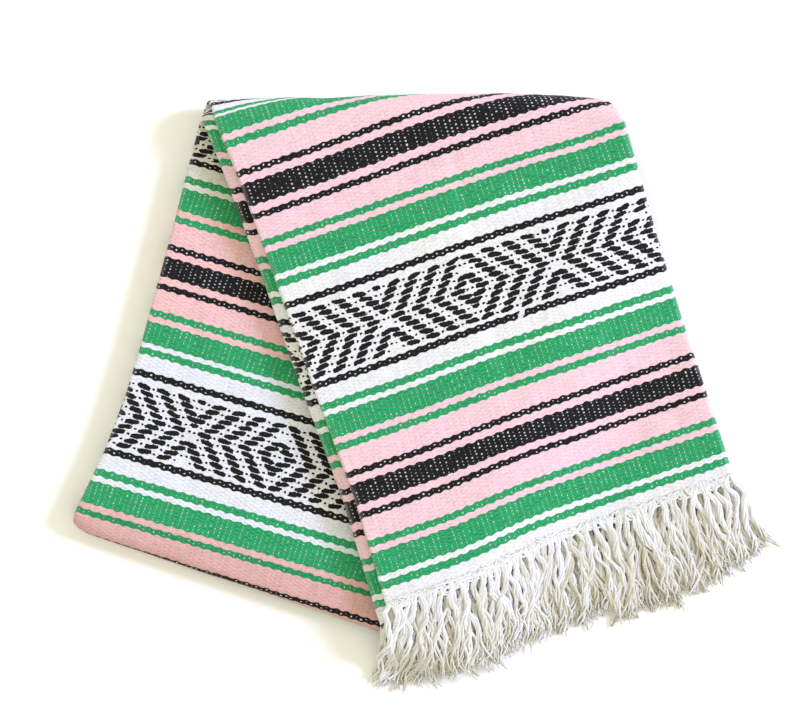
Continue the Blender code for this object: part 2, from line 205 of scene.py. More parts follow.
PLY_INSET = 0.0014
BILLOW = 0.00045
BILLOW_LENGTHS = (0.041, 0.067, 0.113)

# How far the top fold stands out beyond a straight line, by x
BULGE_TABLE = np.array(
    [
        (-0.175, -0.0015),
        (-0.123, 0.0008),
        (-0.082, 0.0002),
        (-0.042, 0.0024),
        (0.020, 0.0040),
        (0.098, 0.0042),
        (0.142, 0.0006),
        (0.163, -0.0025),
    ]
)
BULGE_LENGTH = 0.050

# Fringe: share of the hem, reach in plan, heading in degrees from straight down the picture
REACH_TABLE = np.array(
    [
        (0.00, 0.078, -7.0),
        (0.06, 0.086, -1.0),
        (0.15, 0.092, 4.0),
        (0.30, 0.086, 11.0),
        (0.50, 0.089, 17.0),
        (0.70, 0.099, 19.0),
        (0.86, 0.091, 20.0),
        (1.00, 0.074, 21.0),
    ]
)
YARN_SIDES = 6
YARN_STEPS = 18
GARLAND_STEPS = 10
GARLANDS_A_LOCK = 5
CORDS_A_LOCK = 2
LOCK_FALL = 0.024
LOWER_FOLD_CLEARANCE = 0.003
LOWER_FOLD_FALL = 0.026
HEADING_SPREAD = 8.5
TWIST_LENGTH = 0.034
GATHER_LENGTH = 0.014
TURN_LENGTH = 0.012
LEAST_CLEARANCE = 1.3

# Yarns in a cord and how thick they are, beside the plain radius: on the top ply and on the others
TOP_CORD = (4, 1.2)
OTHER_CORD = (3, 1.0)

# By chance, in a fringe: how far a lock's root strays from its place, and the least share of the
# hem beside it; what each lock, cord and yarn keeps of the reach; and how far out from the hem a
# root lies
ROOT_STRAY = 0.22
LEAST_SHARE = 0.012
LOCK_REACH = (0.82, 0.98)
CORD_REACH = (0.88, 1.02)
YARN_REACH = (0.93, 1.02)
TOP_ROOT = (-0.0038, -0.0008)
OTHER_ROOT = -0.0012

# How far a lock and a cord drift aside by their tips, how far a lock sways, a cord's waves as sizes
# and rates, where a lock begins to flare and a yarn to curl, and how far a yarn curls
LOCK_DRIFT = 0.008
CORD_DRIFT = 0.005
LOCK_SWAY = 0.0042
CORD_WAVES = ((0.0026, 1.5), (0.0012, 3.1))
FLARE_START = 0.66
CURL_START = 0.55
CURL_SIZE = 0.0013

# Garlands: how wide they span, how far out from the hem they hang, how far they sag, their ripple,
# and how high they lie on the cloth
GARLAND_SPAN = (0.006, 0.019)
GARLAND_HANG = (-0.0042, 0.0040)
GARLAND_SAG = (0.0004, 0.0052)
GARLAND_RIPPLE = 0.0004
GARLAND_LIFT = 0.0009

MM = 0.001
TAU = 2 * math.pi

# Stage: the floor's half width, the room's light, and each sun's bearing, height and spread in
# degrees, power and colour
FLOOR_HALF_WIDTH = 4.0
ROOM_COLOUR = (1.0, 0.965, 0.77, 1.0)
ROOM_STRENGTH = 0.9
SUNS = (
    ("key", 14.0, 29.0, 16.0, 2.3, (0.93, 1.0, 1.5)),
    ("fill", 150.0, 55.0, 60.0, 0.21, (1.0, 1.0, 1.0)),
)

# Camera: lens and sensor in mm, width of the view at its level, and the point that it looks down on
LENS = 180.0
SENSOR_WIDTH = 36.0
VIEW_WIDTH = 0.680
VIEW_POINT = (-0.0183, 0.0289, 0.028)


def linear(hex_colour):
    """A colour of sRGB hex digits as linear red, green, blue and alpha."""
    channels = np.array([int(hex_colour[i : i + 2], 16) for i in (1, 3, 5)]) / 255
    low = channels / 12.92
    high = ((channels + 0.055) / 1.055) ** 2.4
    return (*np.where(channels <= 0.04045, low, high), 1.0)


class BlanketSizes(bpy.types.PropertyGroup):
    """Sizes of the weave and the fringe that a user would change."""

    warp_pitch: bpy.props.FloatProperty(
        name="Warp pitch",
        description="Distance between groups of warp threads",
        default=4.45 * MM,
        unit="LENGTH",
    )
    pick_pitch: bpy.props.FloatProperty(
        name="Pick pitch",
        description="Distance between weft yarns",
        default=1.65 * MM,
        unit="LENGTH",
    )
    stripe_repeat: bpy.props.FloatProperty(
        name="Stripe repeat",
        description="Distance from one diamond band to the next",
        default=272 * MM,
        unit="LENGTH",
    )
    first_band: bpy.props.FloatProperty(
        name="First band",
        description="Distance from the hem to the middle of the first diamond band",
        default=232 * MM,
        unit="LENGTH",
    )
    diamond_axis: bpy.props.FloatProperty(
        name="Diamond axis",
        description="Distance from the folded strip's left edge to the middle of its one whole diamond",
        default=155.2 * MM,
        unit="LENGTH",
    )
    yarn_radius: bpy.props.FloatProperty(
        name="Fringe yarn radius",
        description="Radius of one yarn of the fringe",
        default=1.15 * MM,
        unit="LENGTH",
    )
    locks: bpy.props.IntProperty(
        name="Locks",
        description="Locks of fringe along one hem",
        default=29,
        min=8,
        max=40,
    )


class BlanketColours(bpy.types.PropertyGroup):
    """Colours of the yarns."""

    pink: bpy.props.FloatVectorProperty(
        name="Pink",
        description="Pink weft of the upper flap",
        size=4,
        subtype="COLOR",
        default=linear("#E3C0CA"),
    )
    # Partly painted shade: the lower flap's pink is darker and warmer than the upper flap's, partly for
    # the warm shade on it and partly as less faded yarn
    shaded_pink: bpy.props.FloatVectorProperty(
        name="Shaded pink",
        description="Pink weft of the lower flap, less faded",
        size=4,
        subtype="COLOR",
        default=linear("#E2B6BA"),
    )
    green: bpy.props.FloatVectorProperty(
        name="Green", description="Green weft", size=4, subtype="COLOR", default=linear("#28945D")
    )
    black: bpy.props.FloatVectorProperty(
        name="Black", description="Black weft", size=4, subtype="COLOR", default=linear("#171517")
    )
    white: bpy.props.FloatVectorProperty(
        name="White", description="White weft", size=4, subtype="COLOR", default=linear("#DCDDE0")
    )
    # Painted shade: the lower flap's white is a little darker and bluer than the upper flap's, for the
    # dim, cool light on it
    shaded_bluish_white: bpy.props.FloatVectorProperty(
        name="Bluish white",
        description="White weft of the lower flap, optically brightened",
        size=4,
        subtype="COLOR",
        default=linear("#D8DAE3"),
    )
    bleached: bpy.props.FloatVectorProperty(
        name="Bleached",
        description="Whitest yarn of the fringe",
        size=4,
        subtype="COLOR",
        default=linear("#E3E4E7"),
    )
    cream: bpy.props.FloatVectorProperty(
        name="Cream",
        description="Undyed yarn of the fringe",
        size=4,
        subtype="COLOR",
        default=linear("#CCC7B6"),
    )


def smooth_step(x):
    """0 below 0, 1 above 1, and a soft S between them."""
    t = np.clip(x, 0.0, 1.0)
    return t * t * (3 - 2 * t)


def bell(x):
    """1 at 0, falling to nothing on both sides."""
    return np.exp(-(x**2))


def strip_point(u, leg):
    """Distances across and along the strip, laid flat, with its edges as they lie."""
    left = np.interp(leg, EDGE_TABLE[:, 0], EDGE_TABLE[:, 1])
    right = np.interp(leg, EDGE_TABLE[:, 0], EDGE_TABLE[:, 2])
    across = left + u / STRIP_WIDTH * (right - left)
    bend = (u - HEM_BEND[0]) / (HEM_BEND[1] - HEM_BEND[0])
    hem = HEM_RISE * smooth_step(bend) - HEM_SAG
    rise = across * math.sin(FLAP_ANGLE)
    fold_start = (TOP_FOLD_Y - HEM_CORNER[1] - rise) / math.cos(FLAP_ANGLE)
    fold_end = fold_start + math.pi * TOP_FOLD_RADIUS / math.cos(FLAP_ANGLE)
    corner = np.clip(1 - u / CORNER_ROUND, 0, 1) ** 2
    lower_fold = LOWER_FOLD_ALONG - CORNER_DROP * corner
    along = (
        hem
        + (fold_start - hem) * np.minimum(leg, 1)
        + (fold_end - fold_start) * np.clip(leg - 1, 0, 1)
        + (lower_fold - fold_end) * np.clip(leg - 2, 0, 1)
    )
    return across, along


def plan_of(across, along):
    """x and y of a place on the strip before the top fold is made."""
    x = HEM_CORNER[0] + across * math.cos(FLAP_ANGLE) - along * math.sin(FLAP_ANGLE)
    y = HEM_CORNER[1] + across * math.sin(FLAP_ANGLE) + along * math.cos(FLAP_ANGLE)
    return x, y


def folded_back(y):
    """y, once the strip is folded back over the top fold."""
    return 2 * TOP_FOLD_Y + math.pi * TOP_FOLD_RADIUS - y


def distance_beside(x, y):
    """Distance beyond the line, right of the lower flap, where the upper flap begins to fall."""
    start_x, start_y = plan_of(*strip_point(STRIP_WIDTH, 1.0))
    corner_x, corner_y = plan_of(*strip_point(STRIP_WIDTH, 3.0))
    run_x, run_y = start_x - corner_x, start_y - folded_back(corner_y)
    cross = (x - start_x) * run_y - (y - start_y) * run_x
    return cross / math.hypot(run_x, run_y)


def drape(x, y):
    """Height of the upper flap's underside: on the lower flap, then falling to the floor."""
    return DRAPE_LIFT * (1 - smooth_step(distance_beside(x, y) / DRAPE_LENGTH))


def ground_height(x, y):
    """Height of what the fringe lies on: the lower flap, then the floor past its fold and edge."""
    rise = (folded_back(y) - HEM_CORNER[1]) * math.cos(FLAP_ANGLE)
    along = rise - (x - HEM_CORNER[0]) * math.sin(FLAP_ANGLE)
    past = along - LOWER_FOLD_ALONG - LOWER_FOLD_RADIUS - LOWER_FOLD_CLEARANCE
    return drape(x, y) * (1 - smooth_step(past / LOWER_FOLD_FALL))


def fold_bulge(x, past):
    """How far the cloth stands out of the top fold's line, fading on both sides of the fold."""
    bulge = np.interp(x, BULGE_TABLE[:, 0], BULGE_TABLE[:, 1])
    before = smooth_step(1 + past / BULGE_LENGTH)
    return bulge * before * smooth_step(1 - (past - math.pi * TOP_FOLD_RADIUS) / BULGE_LENGTH)


def travel_of(along, turn):
    """Distance travelled from the upper hem along the strip's outer face."""
    past_axis = (along - LOWER_FOLD_ALONG) * np.cos(turn)
    return LOWER_FOLD_ALONG + LOWER_FOLD_RADIUS * turn + past_axis


def sunk(across, along, turn):
    """How far the outer face sinks: creases as soft uneven troughs, and a slight billowing.

    A trough's depth falls off as a bell curve from a straight line, swells and shrinks along it as
    two sines do, and fades at its ends. The billows are products of sines.
    """
    travel = travel_of(along, turn)
    total = np.zeros(np.broadcast(across, travel).shape)
    for number, (a0, t0, a1, t1, deep, half_width) in enumerate(CREASE_TABLE):
        run_a, run_t = a1 - a0, t1 - t0
        length = math.hypot(run_a, run_t)
        share = ((across - a0) * run_a + (travel - t0) * run_t) / length**2
        wander = 0.25 * half_width * np.sin(TAU * 1.3 * share + number)
        off = ((across - a0) * run_t - (travel - t0) * run_a) / length + wander
        uneven = 1 + CREASE_UNEVENNESS * (
            np.sin(TAU * 1.7 * share + 2.1 * number) + 0.6 * np.sin(TAU * 3.9 * share + number)
        )
        ends = smooth_step(share / 0.25 + 0.4) * smooth_step((1 - share) / 0.25 + 0.4)
        total += deep * bell(off / half_width) * uneven * ends
    for number, size in enumerate(BILLOW_LENGTHS):
        wave = np.sin(TAU * across / size + 1.7 * number + 3 * np.sin(travel / size / 2))
        swell = np.sin(TAU * travel / (1.37 * size) + 0.9 * number)
        total += BILLOW / 3 * (1 + wave * swell)
    return total


def place(u, leg, turn, depth):
    """World position of a place on the folded strip."""
    across, along = strip_point(u, leg)
    depth = depth + sunk(across, along, turn) * (1 - depth / STRIP_DEPTH)
    reach = LOWER_FOLD_RADIUS - depth
    flap_depth = LOWER_FOLD_RADIUS - reach * np.cos(turn)
    x, flat_y = plan_of(across, along + reach * np.sin(turn))
    past = flat_y - TOP_FOLD_Y
    bend = np.clip(past / TOP_FOLD_RADIUS, 0, math.pi)
    beyond = np.maximum(past - math.pi * TOP_FOLD_RADIUS, 0)
    radius = TOP_FOLD_RADIUS - flap_depth
    y = np.minimum(flat_y, TOP_FOLD_Y) + radius * np.sin(bend) - beyond + fold_bulge(x, past)
    past_hem = np.maximum(-leg, 0) * LEG_LENGTH
    sagging = 1 - bell(past_hem / LOCK_FALL)
    on_front = drape(x, flat_y) + (FLAP_DEPTH - flap_depth) * (1 - SAGGING_SHARE * sagging)
    on_fold = TOP_FOLD_RADIUS + radius * np.cos(bend)
    points = np.stack([x, y, np.where(past < 0, on_front, on_fold)], axis=-1)
    return points - CENTRE


def cloth_along(u, leg, turn):
    """Distance from the upper hem on the flat cloth, read from where the stripes lie."""
    across, along = strip_point(u, leg)
    _, fold_start = strip_point(u, 1.0)
    _, fold_end = strip_point(u, 2.0)
    rightward = smooth_step((u - HEM_BEND[0]) / (HEM_BEND[1] - HEM_BEND[0]))
    edgeward = smooth_step((u - EDGE_BEND[0]) / (EDGE_BEND[1] - EDGE_BEND[0]))

    def on_front(distance):
        left, right, edge = (
            np.interp(distance, SHIFT_TABLE[:, 0], SHIFT_TABLE[:, i]) for i in (1, 2, 3)
        )
        return distance + left + (right - left) * rightward + (edge - right) * edgeward

    def on_rear(distance):
        up = REAR_BAND_ALONG - REAR_BAND_SLANT * u - distance
        return REAR_BAND + np.interp(up, REAR_TABLE[:, 0], REAR_TABLE[:, 1])

    lower_axis = on_rear(LOWER_FOLD_ALONG)
    lower_start = lower_axis - math.pi * LOWER_FOLD_RADIUS
    x, flat_y = plan_of(across, along)
    bulge = fold_bulge(x, flat_y - TOP_FOLD_Y) / math.cos(FLAP_ANGLE)
    outward = on_front(np.minimum(along, fold_end) + bulge)
    below = outward + (lower_start - outward) * np.clip(leg - 2, 0, 1)
    crease = on_rear(fold_end)
    back = on_rear(np.maximum(along, fold_end))
    homeward = crease + (CLOTH_LENGTH - crease) * (1 - np.clip(leg, 0, 1))
    back = np.where(leg >= 2, back, np.where(leg >= 1, crease, homeward))
    round_fold = lower_start + LOWER_FOLD_RADIUS * turn
    return np.where(turn <= 0, below, np.where(turn >= math.pi, back, round_fold))


def edge_arc(centre, radius, first, last, steps):
    """Points (u, depth) of a rounded edge of the strip, on a circle."""
    angles = np.linspace(first, last, steps + 1)
    return np.stack(
        [centre[0] + radius * np.cos(angles), centre[1] + radius * np.sin(angles)], axis=-1
    )


def rounded_edge(outer, inner):
    """A section's two faces with its left edge, a cut or woven one, rounded.

    Three more pairs of points follow a half circle whose width is the wall, so the faces meet.
    """
    middle, half = (outer + inner) / 2, (outer - inner) / 2
    angles = np.radians([82.0, 60.0, 30.0])[:, None]
    out = middle[0] - middle[1]
    out /= np.linalg.norm(out)
    middle = np.concatenate([middle[0] + out * np.sin(angles) * WALL / 2, middle])
    half = np.concatenate([half[0] * np.cos(angles), half])
    return middle + half, middle - half


def outer_section(columns):
    """The outer ply's two faces: thin fold and its tuck, the top, the edge fold and its tuck."""
    quarter = math.pi / 2
    inset = 1.5 * MM
    top_u = np.linspace(THIN_FOLD_RADIUS + inset, STRIP_WIDTH - EDGE_FOLD_RADIUS - inset, columns)
    faces = []
    for offset in (0.0, WALL):
        thin = THIN_FOLD_RADIUS - offset
        edge = EDGE_FOLD_RADIUS - offset
        left = edge_arc((THIN_FOLD_RADIUS,) * 2, thin, quarter, 3 * quarter, 9)
        centre = (STRIP_WIDTH - EDGE_FOLD_RADIUS, EDGE_FOLD_RADIUS)
        right = edge_arc(centre, edge, -quarter, quarter, 13)
        top = np.stack([top_u, np.full(columns, offset)], axis=-1)
        left_tuck = np.linspace((THIN_FOLD_TUCK, left[0, 1]), left[0], 5)[:-1]
        tuck_end = (STRIP_WIDTH - EDGE_FOLD_RADIUS - EDGE_FOLD_TUCK, right[-1, 1])
        right_tuck = np.linspace(right[-1], tuck_end, 6)[1:]
        faces.append(np.concatenate([left_tuck, left, top, right, right_tuck]))
    return faces


def selvedge_section():
    """The third ply's two faces beside the upper flap, its woven edge rounded and sagging."""
    steps = np.linspace(0, 1, SELVEDGE_COLUMNS)
    reach = np.linspace(0, 1, len(SELVEDGE_TABLE))
    u = np.interp(steps, reach, SELVEDGE_TABLE[:, 0])
    sag = np.interp(u, SELVEDGE_TABLE[:, 0], SELVEDGE_TABLE[:, 1])
    upper = np.stack([u, 2 * PITCH + sag], axis=-1)
    return rounded_edge(upper, upper + (0, WALL))


def nested_section():
    """The second and third plies as one cloth: the nested fold at the right joins them."""
    first = THIN_FOLD_TUCK + PLY_INSET
    last = STRIP_WIDTH - EDGE_FOLD_RADIUS
    quarter = math.pi / 2
    faces = []
    for offset in (0.0, WALL):
        radius = max(EDGE_FOLD_RADIUS - PITCH - offset, GAP / 2)
        nest = edge_arc((last, EDGE_FOLD_RADIUS), radius, -quarter, quarter, 9)
        stretches = ((first, last, PITCH + offset), (last, THIN_FOLD_TUCK, nest[-1, 1]))
        top, under = (
            np.linspace((start, depth), (end, depth), NESTED_COLUMNS)
            for start, end, depth in stretches
        )
        faces.append(np.concatenate([top, nest[1:-1], under]))
    return faces


def selvedge_stretch(first, last, ply):
    """A ply's two flat faces from one distance across to another, its woven edge rounded."""
    upper = np.linspace((first, ply * PITCH), (last, ply * PITCH), SELVEDGE_COLUMNS)
    return rounded_edge(upper, upper + (0, WALL))


def rows_between(*stretches):
    """Rows of (leg, turn). A stretch gives its first and last leg or turn, its steps and its turn.

    A stretch whose turn is None goes round the lower fold.
    """
    rows = []
    for first, last, steps, turn in stretches:
        values = np.linspace(first, last, steps + 1)
        if turn is None:
            rows.append(np.stack([np.full(steps + 1, 3.0), values], axis=-1))
        else:
            rows.append(np.stack([values, np.full(steps + 1, turn)], axis=-1))
    rows = np.concatenate(rows)
    moved_on = np.abs(np.diff(rows, axis=0)).max(axis=1) > 1e-9
    return rows[np.concatenate([[True], moved_on])]


def thin_at_hem(leg, hem_ends):
    """Share of the wall's thickness left near a hem, so that the cut edge is rounded."""
    if not hem_ends:
        return np.ones_like(leg)
    near = np.clip(1 - leg * LEG_LENGTH / WALL, 0, 1)
    return np.maximum(np.sqrt(1 - near**2), THINNEST_SHARE)


def sheet_mesh(section, rows, hem_ends, edge_along=0.0, narrowing=1.0, worn_at=(0.0, STRIP_WIDTH)):
    """Points, faces, cloth places and wear of a wall swept along the rows, closed round its rim.

    The section's two faces are placed at each row, joined by quads along the grid, and the rim is a
    strip of quads round all four sides. The cloth place is the length along the section and along
    the cloth. Narrowing is the share of its width that a narrow edge keeps beyond the top fold.
    Wear falls off as a bell curve from the distances across where the cloth is worn, and from the
    hem.
    """
    outer, inner = section
    leg, turn = rows[:, :1], rows[:, 1:]
    share = thin_at_hem(leg - leg.min(), hem_ends)
    width = 1 - (1 - narrowing) * smooth_step((leg - 1) / 0.7)
    middle, half = (outer + inner) / 2, (outer - inner) / 2
    steps = np.linalg.norm(np.diff(outer, axis=0), axis=1)
    arc = np.concatenate([[0.0], np.cumsum(steps)])
    level = int(np.argmin(np.abs(outer[:, 0] - STRIP_WIDTH / 2) + outer[:, 1]))
    arc += outer[level, 0] - arc[level]
    points = []
    for side in (1, -1):
        u = middle[None, :, 0] + side * half[None, :, 0] * share
        u = u[:, -1:] + (u - u[:, -1:]) * width
        depth = middle[None, :, 1] + side * half[None, :, 1] * share
        points.append(place(u, leg, turn, depth))
    flat_u = np.clip(outer[None, :, 0], 0, STRIP_WIDTH)
    across = strip_point(flat_u, leg)[0] - flat_u + arc[None, :]
    along = cloth_along(*np.broadcast_arrays(flat_u, leg, turn)) + edge_along
    places = np.stack([across, along], axis=-1).reshape(-1, 2)
    points = np.concatenate([side.reshape(-1, 3) for side in points])
    from_edge = np.abs(outer[:, 0] - np.array(worn_at)[:, None]).min(axis=0)
    from_hem = np.abs(leg) * LEG_LENGTH
    wear = np.maximum(bell(from_edge / WEAR_WIDTH), bell(from_hem / WEAR_WIDTH)).reshape(-1)
    faces = wall_faces(len(rows), len(outer))
    return points, faces, np.concatenate([places] * 2), np.concatenate([wear] * 2)


def grid_faces(index):
    """Quads between neighbouring rows and columns of grids of point numbers."""
    near, far = index[..., :-1, :], index[..., 1:, :]
    cells = [near[..., :-1], far[..., :-1], far[..., 1:], near[..., 1:]]
    return np.stack(cells, axis=-1).reshape(-1, 4)


def wall_faces(count, size):
    """Quads of a wall's two faces, each a grid of points, and of the rim round all four sides."""
    top = np.arange(count * size).reshape(count, size)
    under = top + count * size
    faces = [grid_faces(top)[:, ::-1], grid_faces(under)]
    rim = (
        (top[0], under[0], False),
        (top[-1], under[-1], True),
        (top[:, 0], under[:, 0], True),
        (top[:, -1], under[:, -1], False),
    )
    for upper, lower, turned in rim:
        strip = grid_faces(np.stack([upper, lower]))
        faces.append(strip[:, ::-1] if turned else strip)
    return np.concatenate(faces)


def joined(meshes):
    """Several meshes, each of points, faces and what each point carries, as one."""
    starts = np.cumsum([0] + [len(mesh[0]) for mesh in meshes[:-1]])
    faces = np.concatenate([mesh[1] + start for mesh, start in zip(meshes, starts)])
    points, _, *carried = (np.concatenate(parts) for parts in zip(*meshes))
    return (points, faces, *carried)


def add_piece(name, mesh_parts, carried_name, material, nodes):
    """Adds a mesh piece of quads, smooth, riding on the blanket.

    Its UV map is in metres of cloth or yarn, and each point's last value is kept by its name.
    """
    points, faces, places, carried = mesh_parts
    mesh = bpy.data.meshes.new(name)
    mesh.vertices.add(len(points))
    mesh.vertices.foreach_set("co", points.astype(np.float32).ravel())
    mesh.loops.add(faces.size)
    mesh.loops.foreach_set("vertex_index", faces.astype(np.int32).ravel())
    mesh.polygons.add(len(faces))
    mesh.polygons.foreach_set("loop_start", np.arange(0, faces.size, 4, dtype=np.int32))
    mesh.update(calc_edges=True)
    mesh.validate()
    layer = mesh.uv_layers.new(name="cloth")
    index = np.empty(len(mesh.loops), np.int32)
    mesh.loops.foreach_get("vertex_index", index)
    layer.data.foreach_set("uv", places[index].astype(np.float32).ravel())
    attribute = mesh.attributes.new(carried_name, "FLOAT", "POINT")
    attribute.data.foreach_set("value", carried.astype(np.float32))
    mesh.shade_smooth()
    mesh.materials.append(material)
    piece = bpy.data.objects.new(name, mesh)
    bpy.context.scene.collection.objects.link(piece)
    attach(piece, "root")
    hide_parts(*nodes)
    return piece


def add_node(tree, kind, inputs=None, **settings):
    """Adds a node, sets its properties, and sets each named input or links it to a socket."""
    node = tree.nodes.new(kind)
    for name, value in settings.items():
        setattr(node, name, value)
    for name, value in (inputs or {}).items():
        if isinstance(value, bpy.types.NodeSocket):
            tree.links.new(value, node.inputs[name])
        else:
            node.inputs[name].default_value = value
    return node


def work_out(tree, values, steps):
    """Adds a node for each step and keeps what it gives by the step's name.

    A step is a name, an arithmetic operation and its operands, or else a name, a kind of node, its
    inputs, the output wanted and its settings. An operand's name stands for an earlier result.
    """
    for name, kind, *given in steps:
        inputs, output, settings = dict(enumerate(given)), 0, {"operation": kind}
        if kind.startswith("ShaderNode"):
            inputs, output, settings = given
        else:
            kind = "ShaderNodeMath"
        inputs = {key: values.get(value, value) for key, value in inputs.items()}
        values[name] = add_node(tree, kind, inputs, **settings).outputs[output]


def new_material(name):
    """An empty node material: its tree and its output node."""
    material = bpy.data.materials.new(name)
    material.use_nodes = True
    tree = material.node_tree
    tree.nodes.clear()
    return material, tree, add_node(tree, "ShaderNodeOutputMaterial")


def finish_fibres(tree, output, colour, values, relief, gloss):
    """Ends a yarn's or a cloth's tree: relief from its height, and a rough shader with a sheen."""
    bump = add_node(tree, "ShaderNodeBump", {"Height": values["height"], **relief})
    inputs = {"Base Color": colour, "Roughness": values["roughness"], "Normal": bump.outputs[0]}
    shader = add_node(tree, "ShaderNodeBsdfPrincipled", {**inputs, **gloss})
    tree.links.new(shader.outputs[0], output.inputs[0])


def clamped(name):
    """Steps that keep a value between 0 and 1."""
    return ((name, "MAXIMUM", name, 0.0), (name, "MINIMUM", name, 1.0))


def folded(name, distance, start, repeat):
    """Steps that fold a distance into one repeat, with 0 in the repeat's middle."""
    return (
        (name, "ADD", distance, start),
        (name, "FLOORED_MODULO", name, repeat),
        (name, "SUBTRACT", name, repeat / 2),
    )


# Stripes by distance from the middle of a diamond band, in mm: where each ends, its yarn, and how
# much of the white warp shows between its picks. Thin lines show it in their middle only
STRIPE_TABLE = (
    (33.4, "white", 0.0),
    (35.1, "black", 0.0),
    (37.6, "black", 0.95),
    (39.3, "black", 0.0),
    (53.0, "white", 0.0),
    (54.8, "green", 0.0),
    (57.4, "green", 0.72),
    (59.2, "green", 0.0),
    (64.2, "white", 0.0),
    (65.5, "green", 0.15),
    (82.7, "green", 0.68),
    (84.0, "green", 0.15),
    (89.3, "pink", 0.0),
    (91.0, "green", 0.0),
    (93.6, "green", 0.72),
    (95.2, "green", 0.0),
    (114.4, "pink", 0.0),
    (115.9, "black", 0.0),
    (118.4, "black", 1.0),
    (119.9, "black", 0.0),
    (126.0, "pink", 0.0),
    (127.3, "black", 0.2),
    (136.0, "black", 0.85),
)


# A diamond band: distance between its rows in mm, its last row either side of the middle, warp
# groups from one float to the next and from a diamond's middle to a cross's, half a float in mm
ROW_PITCH = 5.4
LAST_ROW = 5
FLOAT_REPEAT = 4.0
GROUPS_TO_CROSS = 17
FLOAT_HALF_HEIGHT = 2.25
FLOAT_HALF_LENGTH = 6.0


def stripe_steps(sizes):
    """The over and under of the weft and its stripes, in mm, as steps of arithmetic.

    Two cosines, one across and one along, make the weave. A distance folded back and forth between
    diamond bands, scalloped by the ribs, picks the stripe. Picks are counted both ways from the
    middle of the black line beside a band.
    """
    repeat = sizes.stripe_repeat / MM
    half = repeat / 2
    line_middle = (STRIPE_TABLE[1][0] + STRIPE_TABLE[2][0]) / 2
    return (
        ("rib", "MULTIPLY", "across", math.pi * MM / sizes.warp_pitch),
        ("rib", "COSINE", "rib"),
        ("along", "MULTIPLY_ADD", "wobble", 1.1, "along"),
        *folded("signed", "along", half - sizes.first_band / MM, repeat),
        ("out", "ABSOLUTE", "signed"),
        ("pick", "MULTIPLY_ADD", "tug_along", 1.2, "out"),
        ("pick", "SUBTRACT", "pick", line_middle),
        ("pick", "MULTIPLY_ADD", "pick", math.pi * MM / sizes.pick_pitch, -math.pi / 2),
        ("pick", "COSINE", "pick"),
        ("weave", "MULTIPLY", "rib", "pick"),
        ("outer_side", "GREATER_THAN", "out", 104.0),
        ("outer_side", "MULTIPLY_ADD", "outer_side", -1.1, 0.55),
        ("scallop", "MULTIPLY", "rib", "outer_side"),
        ("scalloped", "MULTIPLY_ADD", "tug_along", 1.5, "out"),
        ("scalloped", "ADD", "scalloped", "scallop"),
        ("stripe", "DIVIDE", "scalloped", half),
    )


